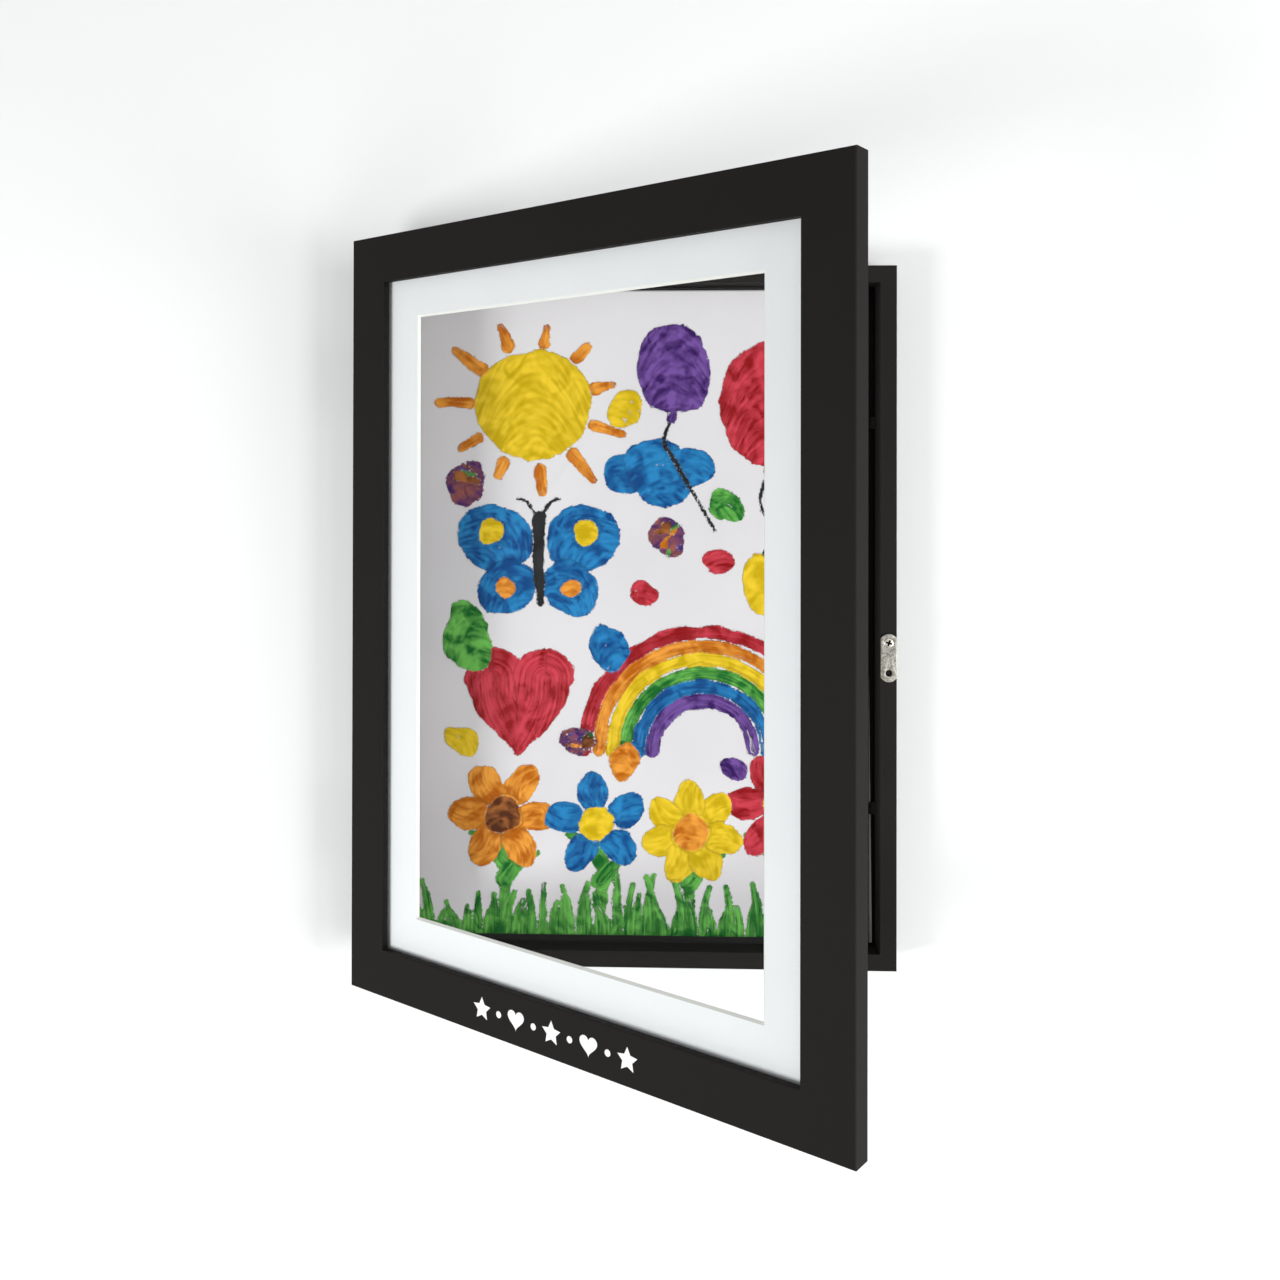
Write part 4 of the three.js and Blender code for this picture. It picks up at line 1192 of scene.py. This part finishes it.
def stroke(paint, points, start_width, end_width, dry=0.35, steps=8):
    path = curve(points, steps)
    nearest = np.full(X.shape, 1e9)
    reach, side, done = np.zeros(X.shape), np.zeros(X.shape), 0.0
    for (x0, z0), (x1, z1) in zip(path, path[1:]):
        dx, dz = x1 - x0, z1 - z0
        length = max(math.hypot(dx, dz), 1e-6)
        t = np.clip(((X - x0) * dx + (Z - z0) * dz) / length**2, 0, 1)
        away = np.hypot(X - x0 - t * dx, Z - z0 - t * dz)
        closer = away < nearest
        nearest = np.where(closer, away, nearest)
        reach = np.where(closer, done + t * length, reach)
        side = np.where(closer, away * np.sign(dx * (Z - z0) - dz * (X - x0)), side)
        done += length
    share = reach / done
    half = (start_width + (end_width - start_width) * share) / 2
    unsteady = np.clip(half / 4, 0.1, 0.8)
    lay(paint, half - nearest, reach, side, dry * np.clip(share * 1.6 - 0.6, 0, 1), unsteady)

# %% Dabs and medleys


def dab(paint, x, z, radius, tall=1.0, tilt=0.0, lobes=0.05, dry=0.12):
    a = math.radians(tilt)
    u = (X - x) * math.cos(a) + (Z - z) * math.sin(a)
    v = ((Z - z) * math.cos(a) - (X - x) * math.sin(a)) / tall
    turn, far = np.arctan2(v, u), np.hypot(u, v)
    bumps = sum(np.sin((n + 2) * turn + p) / (n + 1) for n, p in enumerate(rng.uniform(0, 6, 3)))
    lay(paint, radius * (1 + lobes * bumps) - far, 2.5 * u, 0.45 * v + 0.02 * u * u, dry, min(1, radius / 8))


def medley(paints, x, z, radius, tall):
    dab(paints[0], x, z, radius, tall, lobes=0.11)
    for i in range(7):
        a, far = rng.uniform(0, 6.3), radius * rng.uniform(0.2, 0.75)
        size = radius * rng.uniform(0.16, 0.34)
        place_x, place_z = x + far * math.cos(a), z + far * tall * math.sin(a)
        dab(paints[i % len(paints)], place_x, place_z, size, 2.2, math.degrees(a), 0.3, 0.15)


def ring_of(count, x, z, distance, start):
    """Places round a centre, with the direction outwards in degrees."""
    for i in range(count):
        turn = start + 360 * i / count
        a = math.radians(turn)
        yield x + distance * math.cos(a), z + distance * math.sin(a), turn

# %% [markdown]
# The garden
#
# The painter's order is from back to front: rainbow, sun and clouds, balloons, heart and
# butterfly, flowers, grass, and last the loose dabs that a loaded brush leaves.

# %% Sky
for i, paint in enumerate(("red", "orange", "yellow", "green", "blue", "purple")):
    radius = 60 - 6.9 * i
    bow = [(32 + radius * math.cos(a), -70 + radius * math.sin(a)) for a in np.radians(range(0, 181, 20))]
    stroke(paint, bow[::-1], 7.8, 6.6, dry=0.4, steps=4)

for x, z, turn in ring_of(11, -55, 106, 33, 80):
    a = math.radians(turn)
    long = 12 + 5 * math.sin(turn)
    stroke("orange", [(x, z), (x + long * math.cos(a), z + long * math.sin(a))], 6.6, 4.4)
dab("yellow", -55, 106, 29, lobes=0.03)

for x, z, radius in ((-8, 70, 12), (8, 77, 15), (25, 74, 13), (11, 65, 14)):
    dab("blue", x, z, radius, 0.8, dry=0.2)

# %% Balloons, heart and butterfly
for paint, x, z, radius, foot in (("red", 66, 106, 26, (58, 20)), ("purple", 17, 124, 19, (38, 42))):
    tail = [(x, z - radius * 1.2), (x - 5, z - radius * 1.9), (x + 1, z - radius * 2.5), foot]
    stroke("black", tail, 1.9, 1.5, dry=0)
    dab(paint, x, z, radius, 1.2, lobes=0.02)
    stroke(paint, [(x, z - radius * 1.15), (x - 1, z - radius * 1.32)], 4, 6)

for side in (-1, 1):
    stroke("red", [(-62 + side * 13, -34), (-62 + side * 11, -48), (-62, -70)], 31, 6, dry=0.2)

for side in (-1, 1):
    dab("blue", -52 + side * 22, 38, 20, 0.82, side * 32)
    dab("blue", -52 + side * 16, 12, 15, 0.9, -side * 30)
    dab("yellow", -52 + side * 24, 41, 7, lobes=0.08)
    dab("orange", -52 + side * 17, 12, 5.5, lobes=0.08)
    stroke("black", [(-52, 47), (-52 + side * 6, 56), (-52 + side * 11, 58)], 1.8, 1.4, dry=0)
stroke("black", [(-52, 48), (-52, 26), (-51, 5)], 7, 4, dry=0.1)

# %% Flowers
flowers = (
    ("orange", "brown", -70, -104, 13, 6),
    ("blue", "yellow", -22, -108, 12.5, 5),
    ("red", "yellow", 72, -98, 13, 6),
    ("yellow", "orange", 26, -112, 12, 7),
)
for petal, heart, x, z, size, count in flowers:
    lean = rng.uniform(-5, 5)
    stroke("green", [(x, z), (x + lean, (z - 160) / 2), (x + lean * 0.3, -164)], 4.6, 5.6, dry=0.2)
    for side in (-1, 1):
        root = (x + lean * 0.8, -132 - 5 * side)
        tip = (root[0] + side * 17, root[1] + 14)
        stroke("green", [root, (root[0] + side * 8, root[1] + 9), tip], 10, 3, dry=0.3)
    for px, pz, turn in ring_of(count, x, z, size * 1.35, rng.uniform(0, 60)):
        dab(petal, px, pz, size * 0.86, 0.72, turn)
    dab(heart, x, z, size * 0.72)

dab("green", -88, -14, 13, 1.3, 20, 0.12)
dab("green", 86, 40, 19, 1.2, -15, 0.12)

# %% Grass and loose dabs
for x in np.arange(-112, 112, 4.8):
    height = rng.uniform(12, 34)
    bend = rng.uniform(-5, 5)
    stroke("green", [(x, -167), (x + bend * 0.3, -167 + height * 0.6), (x + bend, -167 + height)], 6.4, 2.6)

loose = (
    ("yellow", -8, 104, 9, 1.1),
    ("plum", 88, 72, 9, 0.9),
    ("plum", 14, 38, 10, 0.9),
    ("red", 40, 26, 9, 0.7),
    ("yellow", 62, 14, 11, 1.3),
    ("plum", -90, 66, 10, 1.1),
    ("green", 44, 54, 9, 0.9),
    ("red", 2, 10, 8, 0.7),
    ("blue", -16, -18, 9, 1.4),
    ("plum", -32, -66, 9, 0.9),
    ("orange", -8, -76, 8, 1.1),
    ("orange", 92, -4, 10, 1.2),
    ("yellow", -92, -66, 9, 0.8),
    ("purple", 48, -80, 7, 0.9),
)
for paint, x, z, radius, tall in loose:
    if paint == "plum":
        medley(("plum", "brown", "purple", "green", "orange"), x, z, radius, tall)
    else:
        dab(paint, x, z, radius, tall, rng.uniform(-40, 40), 0.11, 0.2)
paint_there = np.max(list(canvas.values()), axis=0) > 0
print(f"painted share of the sheet: {np.mean(paint_there):.0%}")

# %% [markdown]
# Poster paint
#
# Each paint is two shades, thick and thin, mixed by broad smears and by streaks drawn out
# along the brush's path. Where the streaks run dry the paper shows. The shader stacks the
# paints in a loop: distance plus noise, cut at zero, decides where each lies. Wet paint
# dries with a low sheen over matt paper, so the roughness follows the paint too.

# %% Painted paper
painted, tree = new_material("poster_paint_on_cartridge_paper")
place = put(tree, "TexCoord").outputs["Object"]
drag = put(tree, "Attribute", attribute_name="brush").outputs["Vector"]
dry = put(tree, "Attribute", attribute_name="dryness").outputs["Fac"]
long = put(tree, "Mapping", {0: drag, "Scale": (0.055, 0.75, 1)})
streaks = put(tree, "TexNoise", {"Vector": long, "Scale": 1.0, "Detail": 5, "Roughness": 0.62})
smears = put(tree, "TexNoise", {"Vector": place, "Scale": per(11), "Detail": 3, "Distortion": 1.2})
uneven = put(tree, "Math", {0: streaks, 1: smears}, operation="ADD")
thin = put(tree, "MapRange", {0: uneven, "From Min": 0.84, "From Max": 1.18})
missed = put(tree, "Math", {0: streaks, 1: 0.33}, operation="SUBTRACT")
starved = put(tree, "Math", {0: dry, 1: 0.62}, operation="MULTIPLY")
held = put(tree, "Math", {0: missed, 1: starved}, operation="SUBTRACT")
enough = put(tree, "MapRange", {0: held, "From Min": -0.18, "From Max": -0.12})
ragged = put(tree, "TexNoise", {"Vector": place, "Scale": per(1.1), "Detail": 4, "Roughness": 0.7})
jag = put(tree, "MapRange", {0: ragged, "From Min": 0.25, "From Max": 0.75, 3: -0.9, 4: 0.9})
print("streaks, smears and a ragged edge:", len(tree.nodes), "nodes")

# %% Layers of paint
stain = put(tree, "TexNoise", {"Vector": place, "Scale": per(60), "Detail": 3})
colour = put(tree, "Mix", {"Factor": stain, 6: linear("C8C5C8"), 7: linear("D6D3D5")}, data_type="RGBA")
covered = None
for paint, (thick_shade, thin_shade) in PAINTS.items():
    depth = put(tree, "Attribute", attribute_name="paint_" + paint).outputs["Fac"]
    edge = put(tree, "Math", {0: depth, 1: jag}, operation="ADD")
    inside = put(tree, "MapRange", {0: edge, "From Min": -0.12, "From Max": 0.12})
    cover = put(tree, "Math", {0: inside, 1: enough}, operation="MULTIPLY")
    ends = {6: linear(thick_shade), 7: linear(thin_shade)}
    shade = put(tree, "Mix", {"Factor": thin, **ends}, data_type="RGBA")
    colour = put(tree, "Mix", {"Factor": cover, 6: colour, 7: shade}, data_type="RGBA")
    covered = put(tree, "Math", {0: covered, 1: cover}, operation="MAXIMUM") if covered else cover
print("paint layers:", len(PAINTS))

# %% Wet sheen and ridges
wet = put(tree, "MapRange", {0: covered, 3: 0.86, 4: 0.4})
ridges = put(tree, "Math", {0: streaks, 1: covered}, operation="MULTIPLY")
tooth = put(tree, "TexNoise", {"Vector": place, "Scale": per(0.6), "Detail": 3})
rough_paper = put(tree, "Bump", {"Height": tooth, "Strength": 0.3, "Distance": 0.03 * MM})
brushed = put(tree, "Bump", {"Height": ridges, "Strength": 0.9, "Distance": 0.6 * MM, "Normal": rough_paper})
finish = {"Base Color": colour, "Roughness": wet, "Normal": brushed, "Specular IOR Level": 0.1}
put(tree, "OutputMaterial", {"Surface": put(tree, "BsdfPrincipled", finish)})

# %% [markdown]
# The sheet
#
# Paper that has been painted wet dries cockled: it keeps broad, shallow waves and a few
# soft creases. Those and the thickness of the paint are in the mesh. The sheet has a
# real back and edges, so it is one closed body.

# %% Painted sheet
face_height = 0.16 * ripples(48, 5) + 0.07 * ripples(17, 6)
for x, z, a in ((-40, 70, 0.9), (30, -20, 2.4), (60, 90, 0.4), (-20, -90, 2.9)):
    line_away = (X - x) * math.sin(a) - (Z - z) * math.cos(a)
    along_line = (X - x) * math.cos(a) + (Z - z) * math.sin(a)
    face_height = face_height + 0.09 * np.exp(-((line_away / 1.6) ** 2) - (along_line / 45) ** 2)
face_height = face_height + (body + 0.02 * ripples(2.2, 9)) * paint_there
face_y = sheet_low.y - face_height.ravel() * MM
centre = (sheet_low + sheet_high) / 2
front = np.stack([centre.x + X.ravel() * MM, face_y, centre.z + Z.ravel() * MM], axis=-1)
index = np.arange(X.size).reshape(X.shape)
edge_loop = [*index[0, :], *index[1:, -1], *index[-1, -2::-1], *index[-2:0:-1, 0]]
back = front[edge_loop] + np.array([0, sheet_high.y - sheet_low.y, 0])
hub = np.array([[centre.x, back[:, 1].mean(), centre.z]])
quads = np.stack([index[:-1, :-1], index[:-1, 1:], index[1:, 1:], index[1:, :-1]], axis=-1).reshape(-1, 4)
loop = [int(i) for i in edge_loop]
behind = range(X.size, X.size + len(loop))
faces = [*quads.tolist(), *between(loop, behind), *between(behind, [behind.stop])]
sheet = piece_from("painted_sheet", np.concatenate([front, back, hub]), faces, painted)
print("sheet:", len(sheet.data.vertices), "points")

# %% Paint attributes
extra = len(loop) + 1


def store(name, values, kind="FLOAT", field="value", outside=0.0):
    """Writes an attribute for the grid's points; the back and edges get `outside`."""
    width = values.shape[-1] if values.ndim == 3 else 1
    full = np.concatenate([values.reshape(X.size, width), np.full((extra, width), outside)])
    layer = sheet.data.attributes.new(name, kind, "POINT")
    layer.data.foreach_set(field, full.astype(np.float32).ravel())


for paint, inside in canvas.items():
    store("paint_" + paint, inside, outside=OUTSIDE)
store("dryness", dryness)
store("brush", brush, "FLOAT_VECTOR", "vector")
sheet.data.polygons.foreach_set("use_smooth", [i < len(quads) for i in range(len(sheet.data.polygons))])
settle(sheet, "box", "painted_paper", "top_drawing")

# %% [markdown]
# White shapes on the bottom rail
#
# The rail below the picture carries a row of plain white cut-outs: stars, hearts and dots
# in self-adhesive vinyl. Each outline is a formula. Vinyl is soft, flat plastic with a
# little shine, and 0.1 mm of it stands on the paint with a soft edge.

# %% Vinyl
vinyl, tree = new_material("white_self_adhesive_vinyl")
place = put(tree, "TexCoord").outputs["Object"]
skin = put(tree, "TexNoise", {"Vector": place, "Scale": per(1.5), "Detail": 2})
shine = put(tree, "MapRange", {0: skin, 3: 0.32, 4: 0.42})
finish = {"Base Color": linear("F6F6F4"), "Roughness": shine}
put(tree, "OutputMaterial", {"Surface": put(tree, "BsdfPrincipled", finish)})


def star(radius):
    """Five straight-sided points."""
    tips = [(radius * (1, 0.5)[i % 2], math.pi / 2 + i * math.pi / 5) for i in range(10)]
    return [(r * math.cos(a), r * math.sin(a)) for r, a in tips]


def heart(radius):
    outline = []
    for a in np.linspace(0, 2 * math.pi, 61)[:-1]:
        rise = 13 * math.cos(a) - 5 * math.cos(2 * a) - 2 * math.cos(3 * a) - math.cos(4 * a) + 2
        outline.append((radius * math.sin(a) ** 3, radius / 16 * rise))
    return outline


def dot(radius):
    return arc(0, 0, radius, 0, 360, 60)[:-1]

# %% The row of cut-outs
CUT = 0.1 * MM
EASE = 0.03 * MM
ROW_MIDDLE = -6.6 * MM  # a little left of the rail's middle
ROW_LENGTH = 94 * MM
row = [star, dot, heart, dot, star, dot, heart, dot, star]
radii = {star: 5.4 * MM, heart: 4.8 * MM, dot: 1.5 * MM}
joined = bmesh.new()
for i, shape in enumerate(row):
    cut = stamped("cut", shape(radii[shape]), [], CUT, EASE, vinyl)
    x = ROW_MIDDLE + (i / (len(row) - 1) - 0.5) * (ROW_LENGTH - 2 * radii[star])
    place = Matrix.Translation((x, door_low.y - CUT / 2, door_low.z + door_rail / 2))
    cut.data.transform(place @ UPRIGHT)
    joined.from_mesh(cut.data)
    bpy.data.objects.remove(cut)
cut_outs = piece_from("white_cut_outs", [], [], vinyl)
joined.to_mesh(cut_outs.data)
joined.free()
settle(smooth(cut_outs, 25), "door", None)

# %% [markdown]
# Camera
#
# A least-squares fit of the frame's corners in the photograph gave the camera: its place,
# its slight turn, and a lens whose axis passes above the picture's middle, as in a crop of
# a larger picture. A lens shift gives the same view and keeps upright lines upright.

# %% Camera
PHOTO = 1280
FOCAL = 1234.0
AXIS = (608.7, 491.6)  # where the lens axis meets the picture, in pixels
TURN, TILT, ROLL_ANGLE = math.radians(-2.003), math.radians(0.305), math.radians(0.103)
CAMERA_PLACE = Vector((5.84, -642.98, -114.1)) * MM

forward = Vector((math.sin(TURN) * math.cos(TILT), math.cos(TURN) * math.cos(TILT), math.sin(TILT)))
level = Vector((math.cos(TURN), -math.sin(TURN), 0))
upward = level.cross(forward)
right = level * math.cos(ROLL_ANGLE) + upward * math.sin(ROLL_ANGLE)
above = upward * math.cos(ROLL_ANGLE) - level * math.sin(ROLL_ANGLE)
lens = bpy.data.cameras.new("camera")
lens.sensor_width = 36
lens.lens = FOCAL / PHOTO * lens.sensor_width
lens.shift_x = (PHOTO / 2 - AXIS[0]) / PHOTO
lens.shift_y = (AXIS[1] - PHOTO / 2) / PHOTO
lens.clip_start = 10 * MM
camera = in_scene("camera", lens)
axes = Matrix((right, above, -forward)).transposed().to_4x4()
camera.matrix_world = Matrix.Translation(CAMERA_PLACE) @ axes
bpy.context.scene.camera = camera
print(f"lens {lens.lens:.2f} mm, shift {lens.shift_x:.4f} {lens.shift_y:.4f}")

# %% [markdown]
# Wall and floor
#
# The frame hangs on a white wall, and its soft shadow falls to the left. So the main light
# is a broad one from the right. The wall is see-through from behind, so that the back can
# be looked at, and it stops no light. It is pale, with a little white of its own for the
# eye, so that it turns white where the lamps reach it and keeps the shadow elsewhere. The
# eye means the camera, and what metal and glass show it: `seen_by_eye` tells such rays
# from those that carry light. The world beyond is white for them too.

# %% Wall and floor


def seen_by_eye(tree):
    """1 for rays from the camera, straight or by way of metal or glass, and 0 for light."""
    ray = put(tree, "LightPath").outputs
    either = put(tree, "Math", {0: ray["Is Camera Ray"], 1: ray["Is Glossy Ray"]}, operation="MAXIMUM")
    return put(tree, "Math", {0: either, 1: ray["Is Transmission Ray"]}, operation="MAXIMUM")


def stage_plane(name, finish, places, up, shade, own, one_sided):
    """A plane of matt paint that looks along `up`, with some white of its own for the eye."""
    paint, tree = new_material(finish)
    matt = put(tree, "BsdfDiffuse", {"Color": linear(shade)})
    white = put(tree, "Emission", {"Color": (1, 1, 1, 1), "Strength": own})
    both = put(tree, "AddShader", {0: matt, 1: white})
    lit = put(tree, "MixShader", {0: seen_by_eye(tree), 1: matt, 2: both})
    if one_sided:
        gone = put(tree, "BsdfTransparent")
        lit = put(tree, "MixShader", {0: put(tree, "NewGeometry").outputs["Backfacing"], 1: lit, 2: gone})
    put(tree, "OutputMaterial", {"Surface": lit})
    plane = piece_from(name, places, [(0, 1, 2, 3)], paint)
    if plane.data.polygons[0].normal.dot(Vector(up)) < 0:
        plane.data.flip_normals()
    return plane

# %% The two planes
WALL_GAP = 0.4 * MM
FLOOR_DROP = 0.9  # to the floor, in metres
ROOM = 3.0
foot_and_top = ((-ROOM, -FLOOR_DROP), (ROOM, -FLOOR_DROP), (ROOM, ROOM), (-ROOM, ROOM))
places = [(x, WALL_GAP, z) for x, z in foot_and_top]
wall = stage_plane("wall", "white_wall_paint", places, TO_FRONT, "E1E2E2", 0.1, True)
wall.visible_shadow = False
wall.visible_diffuse = False
places = [(x, y, -FLOOR_DROP) for x, y in ((-ROOM, -ROOM), (ROOM, -ROOM), (ROOM, ROOM), (-ROOM, ROOM))]
floor = stage_plane("floor", "pale_floor_paint", places, (0, 0, 1), "DCDCDA", 0.45, False)
print("stage:", wall.name, floor.name)

# %% [markdown]
# Lamps
#
# Three softboxes and a pale room. The broad one on the right lights the wall, the box's
# side and the drawing through the gap. A small one near the left lights the open door,
# from a place that the pane doesn't mirror towards the camera. A weak one behind shows
# the back. The room's own light fills the shadows from every side.

# %% Lamps and world
AIM = Vector((0, -0.05, -0.17))
for name, place, size, power in (
    ("right_softbox", (1.4, -1.0, -0.6), 1.1, 42),
    ("left_softbox", (-0.7, -0.72, -0.45), 0.3, 5.8),
    ("back_softbox", (-0.8, 1.6, 0.7), 1.2, 8),
):
    lamp = bpy.data.lights.new(name, "AREA")
    lamp.shape = "RECTANGLE"
    lamp.size = size
    lamp.size_y = size
    lamp.energy = power
    box = in_scene(name, lamp)
    box.location = place
    box.rotation_mode = "QUATERNION"
    box.rotation_quaternion = (AIM - Vector(place)).to_track_quat("-Z", "Y")
    box.visible_camera = False

world = bpy.data.worlds.new("pale_room")
bpy.context.scene.world = world
tree = bare_tree(world)
fill = put(tree, "Background", {"Color": (0.985, 0.99, 1, 1), "Strength": 0.37})
backdrop = put(tree, "Background", {"Color": (1, 1, 1, 1), "Strength": 1.0})
room = put(tree, "MixShader", {0: seen_by_eye(tree), 1: fill, 2: backdrop})
put(tree, "OutputWorld", {"Surface": room})
bpy.context.scene.view_settings.view_transform = "Standard"
